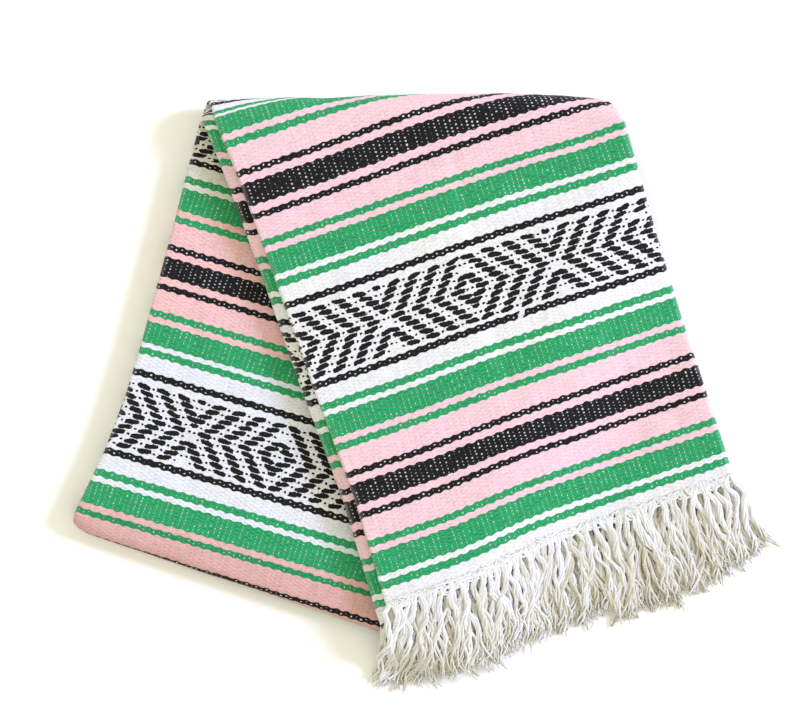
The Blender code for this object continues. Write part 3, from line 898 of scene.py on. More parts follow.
def figure_steps(sizes):
    """The black figure of a diamond band, and the flecks of bare warp, as steps of arithmetic.

    Each row's black floats sit every four warp groups, and stand one group further out from a
    cross's axis for each row away from the middle, so they draw a diamond between two crosses, and
    chevrons beyond them. The floats on a cross's axis are left out below the middle, and the one on
    a diamond's axis three rows above it. A float is an oblong whose sides are powers of the
    distance from its middle, and a dot lies midway between two. Bare warp shows at every other pick
    of a warp group that lies open.
    """
    warp = sizes.warp_pitch / MM
    return (
        ("row", "MULTIPLY_ADD", "signed", 1 / ROW_PITCH, 1.3 / ROW_PITCH),
        ("row_number", "ROUND", "row"),
        ("in_row", "SUBTRACT", "row", "row_number"),
        ("in_row", "MULTIPLY", "in_row", ROW_PITCH),
        ("in_row", "MULTIPLY_ADD", "tug_along", 2.6, "in_row"),
        ("rows_out", "ABSOLUTE", "row_number"),
        ("row_side", "SIGN", "row_number"),
        ("from_axis", "SUBTRACT", "across", sizes.diamond_axis / MM),
        ("from_axis", "ABSOLUTE", "from_axis"),
        ("from_axis", "SUBTRACT", "from_axis", GROUPS_TO_CROSS * warp),
        ("from_axis", "ABSOLUTE", "from_axis"),
        ("groups", "DIVIDE", "from_axis", warp),
        ("phase", "SUBTRACT", "groups", "rows_out"),
        *folded("float_off", "phase", -0.5, FLOAT_REPEAT),
        ("float_mm", "MULTIPLY", "float_off", warp),
        ("float_mm", "MULTIPLY_ADD", "tug_across", 3.4, "float_mm"),
        ("lean", "MULTIPLY", "row_side", "float_mm"),
        ("level", "MULTIPLY_ADD", "lean", -0.16, "in_row"),
        ("level", "DIVIDE", "level", FLOAT_HALF_HEIGHT),
        ("level", "ABSOLUTE", "level"),
        ("level", "POWER", "level", 2.6),
        ("length", "DIVIDE", "float_mm", FLOAT_HALF_LENGTH),
        ("length", "ABSOLUTE", "length"),
        ("length", "POWER", "length", 3.2),
        ("float", "ADD", "level", "length"),
        ("float", "MULTIPLY_ADD", "ragged", 2.2, "float"),
        ("float", "LESS_THAN", "float", 1.0),
        ("row_kind", "FLOORED_MODULO", "rows_out", FLOAT_REPEAT),
        ("row_one", "COMPARE", "row_kind", 1.0, 0.1),
        ("row_three", "COMPARE", "row_kind", 3.0, 0.1),
        ("by_cross", "LESS_THAN", "groups", 1.0),
        ("by_diamond", "GREATER_THAN", "groups", GROUPS_TO_CROSS - 1.0),
        ("below", "LESS_THAN", "row_number", 0.0),
        ("above", "GREATER_THAN", "row_number", 0.0),
        ("by_cross", "MULTIPLY", "by_cross", "below"),
        ("by_cross", "MULTIPLY", "by_cross", "row_one"),
        ("by_diamond", "MULTIPLY", "by_diamond", "above"),
        ("by_diamond", "MULTIPLY", "by_diamond", "row_three"),
        ("left_out", "MAXIMUM", "by_cross", "by_diamond"),
        ("float", "SUBTRACT", "float", "left_out"),
        ("float", "MAXIMUM", "float", 0.0),
        *folded("dot_off", "phase", -0.5 - FLOAT_REPEAT / 2, FLOAT_REPEAT),
        ("dot_off", "MULTIPLY", "dot_off", warp / 1.35),
        ("dot_off", "POWER", "dot_off", 2.0),
        ("dot_level", "POWER", "in_row", 2.0),
        ("dot", "ADD", "dot_off", "dot_level"),
        ("dot", "MULTIPLY_ADD", "ragged", 2.6, "dot"),
        ("dot", "LESS_THAN", "dot", 0.9),
        ("figure", "MAXIMUM", "float", "dot"),
        ("in_band", "LESS_THAN", "rows_out", LAST_ROW + 0.5),
        ("figure", "MULTIPLY", "figure", "in_band"),
        ("rib_size", "ABSOLUTE", "rib"),
        ("rib_side", "SIGN", "rib"),
        ("under", "MULTIPLY_ADD", "pick", "rib_side", 1.0),
        ("off_column", "SUBTRACT", 1.0, "rib_size"),
        ("speck", "MULTIPLY_ADD", "off_column", 4.2, "under"),
        ("speck", "MULTIPLY_ADD", "ragged", 3.6, "speck"),
        ("bared", "MULTIPLY_ADD", "column", 3.4, -2.1),
        ("bared", "MULTIPLY_ADD", "pick_streak", 2.2, "bared"),
        ("bared", "MULTIPLY", "bared", "warp_shows"),
        ("speck", "SUBTRACT", "bared", "speck"),
        ("speck", "MULTIPLY", "speck", 1.5),
        ("speck", "MAXIMUM", "speck", 0.0),
        ("speck", "MINIMUM", "speck", "warp_shows"),
    )


# What a faint yellowing leaves of red, green and blue
AGED_TINT = (1.0, 0.985, 0.93)

# Painted shade: what the darker, warmer shade towards the lower fold leaves of red, green and blue
LOWER_FOLD_SHADE_TINT = (0.80, 0.77, 0.71)

# Painted shade: what the warm shade near the top fold, cast by the upper flap, leaves of red, green and
# blue
TOP_FOLD_SHADE_TINT = (0.90, 0.86, 0.72)

# The cotton's unevenness, by features a metre: slack picks over 25 mm, tight ones over 5 mm, uneven
# spinning over 2 mm, fuzz, streaks along a pick and down a warp group, and a soft fading over 90 mm
UNEVEN_STEPS = (
    ("cloth", "ShaderNodeUVMap", {}, 0, {"uv_map": "cloth"}),
    ("across", "ShaderNodeSeparateXYZ", {0: "cloth"}, 0, {}),
    ("along", "ShaderNodeSeparateXYZ", {0: "cloth"}, 1, {}),
    ("wear", "ShaderNodeAttribute", {}, "Fac", {"attribute_name": "wear"}),
    ("slack", "ShaderNodeTexNoise", {"Vector": "cloth", "Scale": 42.0}, 0, {}),
    ("tight", "ShaderNodeTexNoise", {"Vector": "cloth", "Scale": 190.0}, 1, {}),
    ("tug_across", "ShaderNodeSeparateColor", {0: "tight"}, 0, {}),
    ("tug_along", "ShaderNodeSeparateColor", {0: "tight"}, 1, {}),
    ("spin", "ShaderNodeTexNoise", {"Vector": "cloth", "Scale": 480.0}, 0, {}),
    ("fuzz", "ShaderNodeTexNoise", {"Vector": "cloth", "Scale": 1500.0}, 0, {}),
    ("pick_way", "ShaderNodeMapping", {"Vector": "cloth", "Scale": (55.0, 800.0, 1.0)}, 0, {}),
    ("pick_streak", "ShaderNodeTexNoise", {"Vector": "pick_way", "Scale": 1.0}, 0, {}),
    ("warp_way", "ShaderNodeMapping", {"Vector": "cloth", "Scale": (520.0, 45.0, 1.0)}, 0, {}),
    ("warp_streak", "ShaderNodeTexNoise", {"Vector": "warp_way", "Scale": 1.0}, 0, {}),
    ("fade", "ShaderNodeTexNoise", {"Vector": "cloth", "Scale": 11.0}, 0, {}),
    ("across", "MULTIPLY", "across", 1 / MM),
    ("along", "MULTIPLY", "along", 1 / MM),
    ("wobble", "SUBTRACT", "slack", 0.5),
    ("tug_across", "SUBTRACT", "tug_across", 0.5),
    ("tug_along", "SUBTRACT", "tug_along", 0.5),
    ("ragged", "SUBTRACT", "spin", 0.5),
)

# What follows from the weave: yellowing, wear at the edges, tone, relief and roughness
FINISH_STEPS = (
    ("aged", "MULTIPLY_ADD", "fade", 3.0, -1.3),
    *clamped("aged"),
    ("worn", "MULTIPLY_ADD", "spin", 1.6, -0.4),
    ("worn", "MAXIMUM", "worn", 0.0),
    ("worn", "MULTIPLY", "worn", "wear"),
    ("worn", "MULTIPLY", "worn", 0.3),
    ("tone", "MULTIPLY_ADD", "pick_streak", 0.40, -0.20),
    ("tone", "MULTIPLY_ADD", "warp_streak", 0.36, "tone"),
    ("tone", "MULTIPLY_ADD", "ragged", 0.42, "tone"),
    ("tone", "MULTIPLY_ADD", "weave", 0.06, "tone"),
    ("shown_weave", "MULTIPLY", "weave", "warp_shows"),
    ("tone", "MULTIPLY_ADD", "shown_weave", 0.45, "tone"),
    ("tone", "MULTIPLY_ADD", "speck", 0.34, "tone"),
    ("tone", "ADD", "tone", 0.83),
    ("height", "MULTIPLY", "weave", 0.35),
    ("height", "MULTIPLY_ADD", "figure", 0.6, "height"),
    ("height", "MULTIPLY_ADD", "fuzz", 0.6, "height"),
    ("height", "MULTIPLY_ADD", "pick_streak", 0.7, "height"),
    ("height", "MULTIPLY_ADD", "warp_streak", 0.4, "height"),
    ("roughness", "MULTIPLY_ADD", "fuzz", 0.2, 0.82),
)


def striped_cotton(name, pink, white, sizes, colours, marks=()):
    """Weft-faced striped cotton: picks and ribs, scalloped stripe edges and long black floats."""
    material, tree, output = new_material(name)
    # How openly each warp group lies, from group to group and over 30 mm along it
    groups = (1 / sizes.warp_pitch, 32.0, 1.0)
    openness = (
        ("group_way", "ShaderNodeMapping", {"Vector": "cloth", "Scale": groups}, 0, {}),
        ("column", "ShaderNodeTexNoise", {"Vector": "group_way", "Scale": 1.0}, 0, {}),
    )
    values = {}
    work_out(tree, values, (*UNEVEN_STEPS, *openness, *stripe_steps(sizes)))
    yarns = {"pink": pink, "green": colours.green, "black": colours.black, "white": white}
    ramp = add_node(tree, "ShaderNodeValToRGB", {0: values["stripe"]})
    ramp.color_ramp.interpolation = "CONSTANT"
    stops = ramp.color_ramp.elements
    stops.remove(stops[1])
    start = 0.0
    for number, (end, yarn, bare) in enumerate(STRIPE_TABLE):
        share = start / (sizes.stripe_repeat / MM / 2)
        stop = stops[0] if number == 0 else stops.new(share)
        stop.color = (*yarns[yarn][:3], bare)
        start = end
    values["warp_shows"] = ramp.outputs["Alpha"]
    work_out(tree, values, (*figure_steps(sizes), *FINISH_STEPS, *marks))
    colour = ramp.outputs["Color"]
    overlays = (
        ("aged", AGED_TINT, "MULTIPLY"),
        # the next two overlays are painted shade
        ("deeper", LOWER_FOLD_SHADE_TINT, "MULTIPLY"),
        ("mellowed", TOP_FOLD_SHADE_TINT, "MULTIPLY"),
        ("figure", colours.black, "MIX"),
        ("speck", white, "MIX"),
        ("worn", white, "MIX"),
        ("slub", white, "MIX"),
    )
    for factor, over, blend in overlays:
        if factor in values:
            inputs = {0: values[factor], 6: colour, 7: (*over[:3], 1.0)}
            mixed = add_node(tree, "ShaderNodeMix", inputs, data_type="RGBA", blend_type=blend)
            colour = mixed.outputs[2]
    inputs = {0: colour, "Scale": values["tone"]}
    toned = add_node(tree, "ShaderNodeVectorMath", inputs, operation="SCALE")
    relief = {"Strength": 0.7, "Distance": 0.6 * MM}
    gloss = {"Specular IOR Level": 0.15, "Sheen Weight": 0.06, "Sheen Roughness": 0.6}
    finish_fibres(tree, output, toned.outputs[0], values, relief, gloss)
    return material


# Where marks lie on the flat cloth, in mm: a streak's and a knot's middles, slants and half sizes,
# and how far from the lower flap's diamond band two stretches of painted shade start, and over
# what distance they come in
STREAK_ACROSS, STREAK_ALONG = 147.3, 232.0
STREAK_SLANT = 0.0857
STREAK_HALF_WIDTH, STREAK_HALF_LENGTH = 12.0, 105.0
KNOT_ACROSS, KNOT_ALONG = 189.4, 195.6
KNOT_SLANT = 0.6
KNOT_HALF_WIDTH, KNOT_HALF_LENGTH = 2.6, 4.6
LOWER_FOLD_SHADE_START, LOWER_FOLD_SHADE_FADE = 62.0, 40.0
TOP_FOLD_SHADE_START, TOP_FOLD_SHADE_FADE = 168.0, 45.0

# What the upper flap alone shows: a bleached streak down its middle, and a white knot that breaks
# the black line below its diamond band
FRONT_MARKS = (
    ("streak", "MULTIPLY_ADD", "along", -STREAK_SLANT, "across"),
    ("streak", "SUBTRACT", "streak", STREAK_ACROSS),
    ("streak", "DIVIDE", "streak", STREAK_HALF_WIDTH),
    ("streak", "POWER", "streak", 2.0),
    ("streak", "MULTIPLY", "streak", -1.0),
    ("streak", "EXPONENT", "streak"),
    ("reach", "SUBTRACT", "along", STREAK_ALONG),
    ("reach", "DIVIDE", "reach", STREAK_HALF_LENGTH),
    ("reach", "ABSOLUTE", "reach"),
    ("reach", "LESS_THAN", "reach", 1.0),
    ("bleached", "MULTIPLY_ADD", "column", 0.5, 0.5),
    ("bleached", "MULTIPLY", "bleached", "streak"),
    ("bleached", "MULTIPLY", "bleached", "reach"),
    ("tone", "MULTIPLY_ADD", "bleached", 0.09, "tone"),
    ("knot_along", "SUBTRACT", "along", KNOT_ALONG),
    ("knot_across", "MULTIPLY_ADD", "knot_along", -KNOT_SLANT, "across"),
    ("knot_across", "SUBTRACT", "knot_across", KNOT_ACROSS),
    ("knot_across", "DIVIDE", "knot_across", KNOT_HALF_WIDTH),
    ("knot_across", "POWER", "knot_across", 2.0),
    ("knot_along", "DIVIDE", "knot_along", KNOT_HALF_LENGTH),
    ("knot_along", "POWER", "knot_along", 2.0),
    ("slub", "ADD", "knot_across", "knot_along"),
    ("slub", "LESS_THAN", "slub", 1.0),
)


# What the lower flap alone shows: painted shade below its diamond band, darker and warmer down to
# the lower fold, and painted shade by the top fold, where the upper flap shades it
REAR_MARKS = (
    # painted shade towards the lower fold, on the stripes beyond 84 mm from the band's middle
    ("past_band", "SUBTRACT", "along", REAR_BAND / MM),
    ("deeper", "ADD", "past_band", LOWER_FOLD_SHADE_START),
    ("deeper", "DIVIDE", "deeper", -LOWER_FOLD_SHADE_FADE),
    *clamped("deeper"),
    ("dyed_pink", "GREATER_THAN", "out", 84.0),
    ("deeper", "MULTIPLY", "deeper", "dyed_pink"),
    # painted shade near the top fold, where the upper flap shades the lower one
    ("mellowed", "SUBTRACT", "past_band", TOP_FOLD_SHADE_START),
    ("mellowed", "DIVIDE", "mellowed", TOP_FOLD_SHADE_FADE),
    *clamped("mellowed"),
)


# A yarn's plies, one turn in 5 mm, its fibres, and its blend from bleached to cream towards the tip
PLIED_STEPS = (
    ("yarn", "ShaderNodeUVMap", {}, 0, {"uv_map": "cloth"}),
    ("round", "ShaderNodeSeparateXYZ", {0: "yarn"}, 0, {}),
    ("along", "ShaderNodeSeparateXYZ", {0: "yarn"}, 1, {}),
    ("tone", "ShaderNodeAttribute", {}, "Fac", {"attribute_name": "tone"}),
    ("fibre", "ShaderNodeTexNoise", {"Vector": "yarn", "Scale": 260.0}, 0, {}),
    ("twist", "MULTIPLY_ADD", "along", TAU / (5.0 * MM), "round"),
    ("ply", "SINE", "twist"),
    ("height", "MULTIPLY_ADD", "fibre", 1.6, "ply"),
    ("blend", "MULTIPLY_ADD", "fibre", 0.5, "tone"),
    ("blend", "MULTIPLY_ADD", "along", 4.5, "blend"),
    ("blend", "SUBTRACT", "blend", 0.55),
    ("roughness", "MULTIPLY_ADD", "fibre", 0.3, 0.7),
)


def plied_yarn(name, colours):
    """Undyed plied cotton: slanting plies, bleached or cream by lock, whiter by the hem, fuzzy."""
    material, tree, output = new_material(name)
    values = {}
    work_out(tree, values, PLIED_STEPS)
    inputs = {0: values["blend"], 6: (*colours.bleached[:3], 1.0), 7: (*colours.cream[:3], 1.0)}
    colour = add_node(tree, "ShaderNodeMix", inputs, data_type="RGBA")
    relief = {"Strength": 0.4, "Distance": 0.2 * MM}
    gloss = {"Specular IOR Level": 0.25, "Sheen Weight": 0.25, "Sheen Roughness": 0.5}
    finish_fibres(tree, output, colour.outputs[2], values, relief, gloss)
    return material


def matt_paper(name):
    """Matt white paper: an even pale floor."""
    material, tree, output = new_material(name)
    inputs = {"Base Color": linear("#FCFCFC"), "Roughness": 1.0, "Specular IOR Level": 0.0}
    shader = add_node(tree, "ShaderNodeBsdfPrincipled", inputs)
    tree.links.new(shader.outputs[0], output.inputs[0])
    return material


def yarn_tubes(paths, radii, sides):
    """Points, faces and yarn places of closed tubes along paths, all with the same number of steps.

    Each ring is a regular polygon square to the path, turned by the path's own level side. A flat
    cap of quads closes each end.
    """
    run = np.gradient(paths, axis=1)
    run /= np.linalg.norm(run, axis=2, keepdims=True)
    aside = np.cross(run, (0.0, 0.0, 1.0))
    aside /= np.maximum(np.linalg.norm(aside, axis=2, keepdims=True), 1e-6)
    upward = np.cross(aside, run)
    angles = np.arange(sides) * TAU / sides
    cosines, sines = np.cos(angles)[:, None], np.sin(angles)[:, None]
    ring = cosines * aside[:, :, None] + sines * upward[:, :, None]
    points = paths[:, :, None] + radii[:, :, None, None] * ring
    strands, steps = paths.shape[:2]
    index = np.arange(strands * steps * sides).reshape(strands, steps, sides)
    faces = grid_faces(np.concatenate([index, index[:, :, :1]], axis=2))
    length = np.linalg.norm(np.diff(paths, axis=1), axis=2)
    length = np.concatenate([np.zeros((strands, 1)), np.cumsum(length, axis=1)], axis=1)
    places = np.stack(
        [np.broadcast_to(angles, index.shape), np.broadcast_to(length[:, :, None], index.shape)],
        axis=-1,
    )
    caps = []
    for end, order in ((-1, (0, 1, 2, 3)), (0, (3, 2, 1, 0))):
        ends = index[:, end]
        caps.append(ends[:, list(order)])
        for k in range(3, sides - 1, 2):
            fan = [0, k, k + 1, (k + 2) % sides]
            caps.append(ends[:, fan if end == -1 else fan[::-1]])
    return points.reshape(-1, 3), np.concatenate([faces, *caps]), places.reshape(-1, 2)


def on_hem(share, out, aside, heading):
    """x, y of places by the upper hem: out from it, and aside from their own root on it.

    At the root, aside runs along the hem; further out it turns square to the lock's heading.
    """
    across, along = strip_point(share * STRIP_WIDTH, 0.0)
    x, y = plan_of(across, along)
    square = FLAP_ANGLE + (heading - FLAP_ANGLE) * smooth_step(out / TURN_LENGTH)
    x = x + out * np.sin(heading) + aside * np.cos(square)
    y = y - out * np.cos(heading) + aside * np.sin(square)
    return x, y, across, along


def fringe_paths(ply, locks, yarns, rest_range, radius, chance):
    """Paths and tones of one ply's fringe: locks of cords, each cord of yarns twisted together.

    A lock gathers its yarns from the hem, runs on in its own direction, bends and widens. A yarn
    circles its cord's middle on a helix that opens towards the tip, where it curls as a sine. Its
    height falls from the hem to what it lies on as a bell curve.
    """
    cords = CORDS_A_LOCK
    shape = (locks, cords, yarns, 1)
    t = np.linspace(0, 1, YARN_STEPS)
    by_lock, by_cord = (locks, 1, 1, 1), (locks, cords, 1, 1)
    on_top = ply == 0
    share = (np.arange(locks) + 0.5 + chance.uniform(-ROOT_STRAY, ROOT_STRAY, locks)) / locks
    share = np.clip(share, LEAST_SHARE, 1 - LEAST_SHARE).reshape(by_lock)
    loose = 1 - 0.85 * np.abs(2 * share - 1) ** 4
    heading = np.interp(share, REACH_TABLE[:, 0], REACH_TABLE[:, 2])
    heading = np.radians(heading + chance.normal(0, HEADING_SPREAD, by_lock) * loose)
    reach = np.interp(share, REACH_TABLE[:, 0], REACH_TABLE[:, 1])
    reach = reach * chance.uniform(*LOCK_REACH, by_lock) * chance.uniform(*CORD_REACH, by_cord)
    reach = reach * chance.uniform(*YARN_REACH, shape)
    root = chance.uniform(*TOP_ROOT, by_lock) if on_top else np.full(by_lock, OTHER_ROOT)
    out = root + (reach - root) * t**1.08
    drawn = smooth_step((out - root) / GATHER_LENGTH)
    flare = smooth_step((t - FLARE_START) / (1 - FLARE_START))
    turns = chance.uniform(0, TAU, by_lock)
    aside = chance.normal(0, LOCK_DRIFT, by_lock) * t**2.2
    aside = aside + chance.normal(0, CORD_DRIFT, by_cord) * t
    aside = aside * loose
    aside = aside + LOCK_SWAY * t * np.sin(TAU * 0.9 * t + turns)
    side = (np.arange(cords) - (cords - 1) / 2).reshape(1, cords, 1, 1)
    gap = STRIP_WIDTH / locks / cords
    width = radius * (5.0 if on_top else 3.0)
    aside = aside + side * (gap * (1 - drawn) + width * drawn)
    aside = aside + flare * (side * 0.0020 + chance.normal(0, 0.0022, by_cord))
    for size, rate in CORD_WAVES:
        pace = rate * chance.uniform(0.75, 1.25, by_cord)
        aside = aside + size * drawn * np.sin(TAU * pace * t + chance.uniform(0, TAU, by_cord))
    spread = (np.arange(yarns) - (yarns - 1) / 2).reshape(1, 1, yarns, 1)
    aside = aside + spread * gap / yarns * (1 - drawn)
    circle = spread / yarns * TAU + TAU * out / TWIST_LENGTH + chance.uniform(0, TAU, by_cord)
    opened = radius * (1.15 if on_top else 0.85) * drawn
    opened = opened + flare * chance.uniform(0.0002, 0.0020, shape)
    aside = aside + opened * np.cos(circle)
    end = np.clip((t - CURL_START) / (1 - CURL_START), 0, 1)
    curl = chance.normal(0, CURL_SIZE, shape) * end**1.3
    aside = aside + curl * np.sin(TAU * chance.uniform(0.8, 1.8, shape) * end + turns)
    x, y, across, along = on_hem(share, out, aside, heading)
    ground = ground_height(x, y)
    rest = chance.uniform(*rest_range, by_cord) * (1 - 0.45 * flare)
    lying = ground + rest + opened * np.sin(circle) * 0.7
    lying = np.maximum(lying, ground + radius * LEAST_CLEARANCE)
    top = drape(x, y) + FLAP_DEPTH - sunk(across + aside, along - out, 0.0)
    if on_top:
        start = top - 0.0010 + 0.0016 * smooth_step((out - root) / 0.006)
    else:
        start = top - ply * PITCH - WALL / 2
    fall = bell(np.maximum(out, 0) / LOCK_FALL)
    z = np.maximum(lying + (start - lying) * fall, ground + radius * LEAST_CLEARANCE)
    paths = np.stack(np.broadcast_arrays(x, y, z), axis=-1).reshape(-1, YARN_STEPS, 3)
    # Painted shade: the plies under the top one get a creamier tone, for the shade they lie in
    tone = chance.uniform(0, 1, by_lock) ** 1.4 * 0.8 + 0.3 * share + (0.0 if on_top else 0.2)
    tone = tone + chance.uniform(-0.3, 0.3, by_cord) + chance.uniform(-0.12, 0.12, shape)
    return paths - CENTRE, tone.reshape(-1)


def garland_paths(locks, chance):
    """Loose last picks of weft, sagging from one lock's root to the next as parabolas."""
    count = GARLANDS_A_LOCK * locks
    share = chance.uniform(0.01, 0.98, (count, 1))
    t = np.linspace(0, 1, GARLAND_STEPS)
    span = chance.uniform(*GARLAND_SPAN, (count, 1))
    hang = chance.uniform(*GARLAND_HANG, (count, 1))
    sag = chance.uniform(*GARLAND_SAG, (count, 1)) * 4 * t * (1 - t)
    ripple = GARLAND_RIPPLE * np.sin(TAU * 2.3 * t + chance.uniform(0, TAU, (count, 1)))
    out = hang + sag + ripple
    x, y, across, along = on_hem(share, out, (t - 0.5) * span, FLAP_ANGLE)
    top = drape(x, y) + FLAP_DEPTH - sunk(across, along - out, 0.0)
    fall = bell(np.maximum(out, 0) / LOCK_FALL)
    ends = 0.0011 * np.abs(2 * t - 1) ** 4
    z = ground_height(x, y) + (top - ground_height(x, y)) * fall + GARLAND_LIFT - ends
    tone = chance.uniform(0, 0.5, count)
    return np.stack([x, y, z], axis=-1) - CENTRE, tone


def fringe_mesh(plies, locks, rest_range, radius, seed):
    """All yarns of one hem: points, faces, yarn places and tone.

    A yarn's radius tapers towards its tip, and a garland's towards both of its ends.
    """
    chance = np.random.default_rng(seed)
    groups = []
    for ply in plies:
        yarns, thickness = TOP_CORD if ply == 0 else OTHER_CORD
        paths, tone = fringe_paths(ply, locks, yarns, rest_range, radius * thickness, chance)
        taper = np.array((1, 1, 0.75, 0.4)) * thickness
        groups.append((paths, tone, (0, 0.6, 0.93, 1), taper))
    if 0 in plies:
        groups.append((*garland_paths(locks, chance), (0, 0.1, 0.9, 1), (0.5, 0.78, 0.78, 0.5)))
    meshes = []
    for paths, tone, at, taper in groups:
        steps = paths.shape[1]
        tapered = np.interp(np.linspace(0, 1, steps), at, taper)
        radii = radius * chance.uniform(0.8, 1.15, len(paths))[:, None] * tapered
        meshes.append((*yarn_tubes(paths, radii, YARN_SIDES), np.repeat(tone, steps * YARN_SIDES)))
    return joined(meshes)


class BLANKET_OT_stage(bpy.types.Operator):
    """Adds the floor, the lights and the camera that looks down on the blanket."""

    bl_idname = "blanket.stage"
    bl_label = "Stage"

    def execute(self, context):
        scene = context.scene
        side = FLOOR_HALF_WIDTH
        mesh = bpy.data.meshes.new("floor")
        corners = [(-side, -side, 0), (side, -side, 0), (side, side, 0), (-side, side, 0)]
        mesh.from_pydata(corners, [], [(0, 1, 2, 3)])
        mesh.materials.append(matt_paper("matt_white_paper"))
        floor = bpy.data.objects.new("floor", mesh)
        scene.collection.objects.link(floor)
        world = bpy.data.worlds.new("soft_room")
        world.use_nodes = True
        backdrop = world.node_tree.nodes["Background"]
        backdrop.inputs["Color"].default_value = ROOM_COLOUR
        backdrop.inputs["Strength"].default_value = ROOM_STRENGTH
        scene.world = world
        scene.view_settings.view_transform = "Standard"
        for name, bearing, height, spread, power, colour in SUNS:
            data = bpy.data.lights.new(name, "SUN")
            data.angle = math.radians(spread)
            data.energy = power
            data.color = colour
            lamp = bpy.data.objects.new(name, data)
            lamp.rotation_euler = (0.0, math.radians(90 - height), math.radians(bearing))
            scene.collection.objects.link(lamp)
        data = bpy.data.cameras.new("camera")
        data.lens = LENS
        data.sensor_width = SENSOR_WIDTH
        camera = bpy.data.objects.new("camera", data)
        distance = VIEW_WIDTH * LENS / SENSOR_WIDTH
        x, y, z = VIEW_POINT
        camera.location = (x - CENTRE[0], y - CENTRE[1], z + distance)
        scene.collection.objects.link(camera)
        scene.camera = camera
        return {"FINISHED"}


class BLANKET_OT_fringe(bpy.types.Operator):
    """Adds the knotted fringe of both hems, as plied yarns in locks."""

    bl_idname = "blanket.fringe"
    bl_label = "Fringe"

    def execute(self, context):
        sizes, colours = context.scene.blanket_sizes, context.scene.blanket_colours
        yarn = plied_yarn("plied_undyed_cotton", colours)
        # Each piece's plies, least and greatest height of its cords on what they lie on, seed, node
        rows = (
            ("upper_fringe", (0, 1, 2, 3), (3.4 * MM, 9.0 * MM), 7, "fringe_upper"),
            ("lower_fringe", (4, 5, 6, 7), (1.4 * MM, 3.4 * MM), 8, "fringe_lower"),
        )
        for name, plies, rest, seed, node in rows:
            mesh = fringe_mesh(plies, sizes.locks, rest, sizes.yarn_radius, seed)
            add_piece(name, mesh, "tone", yarn, [node])
        return {"FINISHED"}


class BLANKET_OT_cloth(bpy.types.Operator):
    """Adds the outer ply in its three stretches: front, rear and underside."""

    bl_idname = "blanket.cloth"
    bl_label = "Cloth"

    def execute(self, context):
        sizes, colours = context.scene.blanket_sizes, context.scene.blanket_colours
        yarns = (colours.pink, colours.white)
        front = striped_cotton("faded_striped_cotton", *yarns, sizes, colours, FRONT_MARKS)
        # The lower flap and underside: pink and white with painted shade, and their own stretches of
        # painted shade
        yarns = (colours.shaded_pink, colours.shaded_bluish_white)
        rear = striped_cotton("less_faded_and_shaded_cotton", *yarns, sizes, colours, REAR_MARKS)
        seam = GAP / (LOWER_FOLD_ALONG - TOP_FOLD_END)
        pi = math.pi
        front_rows = (
            (0, 0.02, 10, 0.0),
            (0.02, 1, 130, 0.0),
            (1, 2, 26, 0.0),
            (2, 3 - seam, 40, 0.0),
        )
        rear_rows = ((0, pi, 16, None), (3, 2 + seam, 110, pi))
        underside_rows = ((2, 1, 22, pi), (1, 0.02, 60, pi), (0.02, 0, 8, pi))
        # Each stretch's material, columns, rows, length of cut, fringe and what it rests on
        stretches = (
            ("front", front, 110, front_rows, 0.915, ["upper_fringe"], ["rear_cover"]),
            ("rear", rear, 90, rear_rows, 0.40, [], ["floor"]),
            ("underside", rear, 50, underside_rows, 0.51, ["lower_fringe"], ["floor"]),
        )
        for part, material, columns, rows, cut_length, attached, below in stretches:
            hemmed = bool(attached)
            mesh = sheet_mesh(outer_section(columns), rows_between(*rows), hemmed)
            node = f"{part}_cloth"
            piece = add_piece(f"{part}_cover", mesh, "wear", material, [node])
        return {"FINISHED"}


class BLANKET_OT_selvedge(bpy.types.Operator):
    """Adds the third ply's woven edge, which shows along the upper flap's left side."""

    bl_idname = "blanket.selvedge"
    bl_label = "Selvedge ply"

    def execute(self, context):
        sizes, colours = context.scene.blanket_sizes, context.scene.blanket_colours
        cotton = striped_cotton("selvedge_cotton", colours.pink, colours.white, sizes, colours)
        over = -SELVEDGE_OVERHANG
        rows = rows_between(
            (over, over + 0.02, 8, 0.0), (over + 0.02, 1, 116, 0.0), (1, 1.999, 26, 0.0)
        )
        woven_edge = SELVEDGE_TABLE[0, 0]
        mesh = sheet_mesh(
            selvedge_section(), rows, True, SELVEDGE_LAG, SELVEDGE_NARROWING, (woven_edge,)
        )
        nodes = ["front_selvedge_cloth"]
        piece = add_piece("selvedge_ply", mesh, "wear", cotton, nodes)
        return {"FINISHED"}


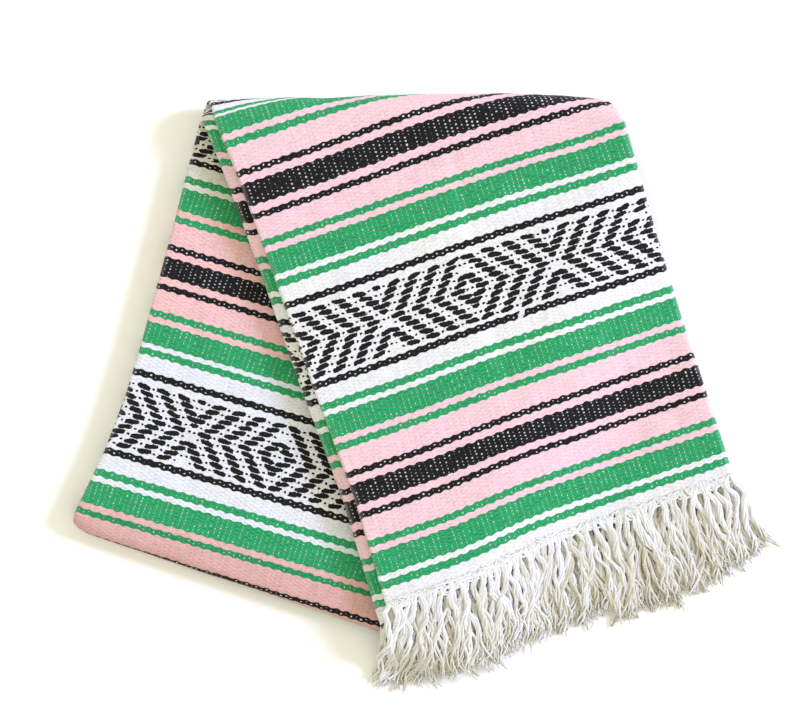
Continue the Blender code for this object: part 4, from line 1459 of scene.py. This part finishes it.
class BLANKET_OT_plies(bpy.types.Operator):
    """Adds plies two to four inside the strip, with the edges that show at its sides and hems."""

    bl_idname = "blanket.plies"
    bl_label = "Folded plies"

    def execute(self, context):
        sizes, colours = context.scene.blanket_sizes, context.scene.blanket_colours
        cotton = striped_cotton("inner_striped_cotton", colours.pink, colours.white, sizes, colours)
        pi = math.pi
        out = ((0, 0.02, 5, 0.0), (0.02, 1, 50, 0.0), (1, 2, 24, 0.0))
        back = (
            (2, 3, 24, 0.0),
            (0, pi, 14, None),
            (3, 2, 30, pi),
            (2, 1, 16, pi),
            (1, 0.02, 36, pi),
            (0.02, 0, 5, pi),
        )
        whole = rows_between(*out, *back)
        beyond = rows_between(*back)
        last = STRIP_WIDTH - EDGE_FOLD_RADIUS - EDGE_FOLD_TUCK - PLY_INSET
        mesh = joined(
            [
                sheet_mesh(nested_section(), whole, True),
                sheet_mesh(selvedge_stretch(0.0024, 0.0175, 2), beyond, True),
                sheet_mesh(selvedge_stretch(0.0012, last, 3), whole, True),
            ]
        )
        piece = add_piece("folded_plies", mesh, "wear", cotton, ["inner_plies"])
        return {"FINISHED"}


class BLANKET_PT_panel(bpy.types.Panel):
    """Lists the blanket's sizes, colours and building steps."""

    bl_label = "Folded blanket"
    bl_space_type = "VIEW_3D"
    bl_region_type = "UI"
    bl_category = "Blanket"

    def draw(self, context):
        for group in (context.scene.blanket_sizes, context.scene.blanket_colours):
            for name in group.__annotations__:
                self.layout.prop(group, name)
        for operator in OPERATORS:
            self.layout.operator(operator.bl_idname)


OPERATORS = (
    BLANKET_OT_stage,
    BLANKET_OT_fringe,
    BLANKET_OT_cloth,
    BLANKET_OT_selvedge,
    BLANKET_OT_plies,
)
CLASSES = (BlanketSizes, BlanketColours, *OPERATORS, BLANKET_PT_panel)


def register():
    for cls in CLASSES:
        bpy.utils.register_class(cls)
    bpy.types.Scene.blanket_sizes = bpy.props.PointerProperty(type=BlanketSizes)
    bpy.types.Scene.blanket_colours = bpy.props.PointerProperty(type=BlanketColours)


def unregister():
    del bpy.types.Scene.blanket_colours
    del bpy.types.Scene.blanket_sizes
    for cls in reversed(CLASSES):
        bpy.utils.unregister_class(cls)


def main():
    register()
    for operator in OPERATORS:
        group, action = operator.bl_idname.split(".")
        getattr(getattr(bpy.ops, group), action)()


if __name__ == "__main__":
    main()
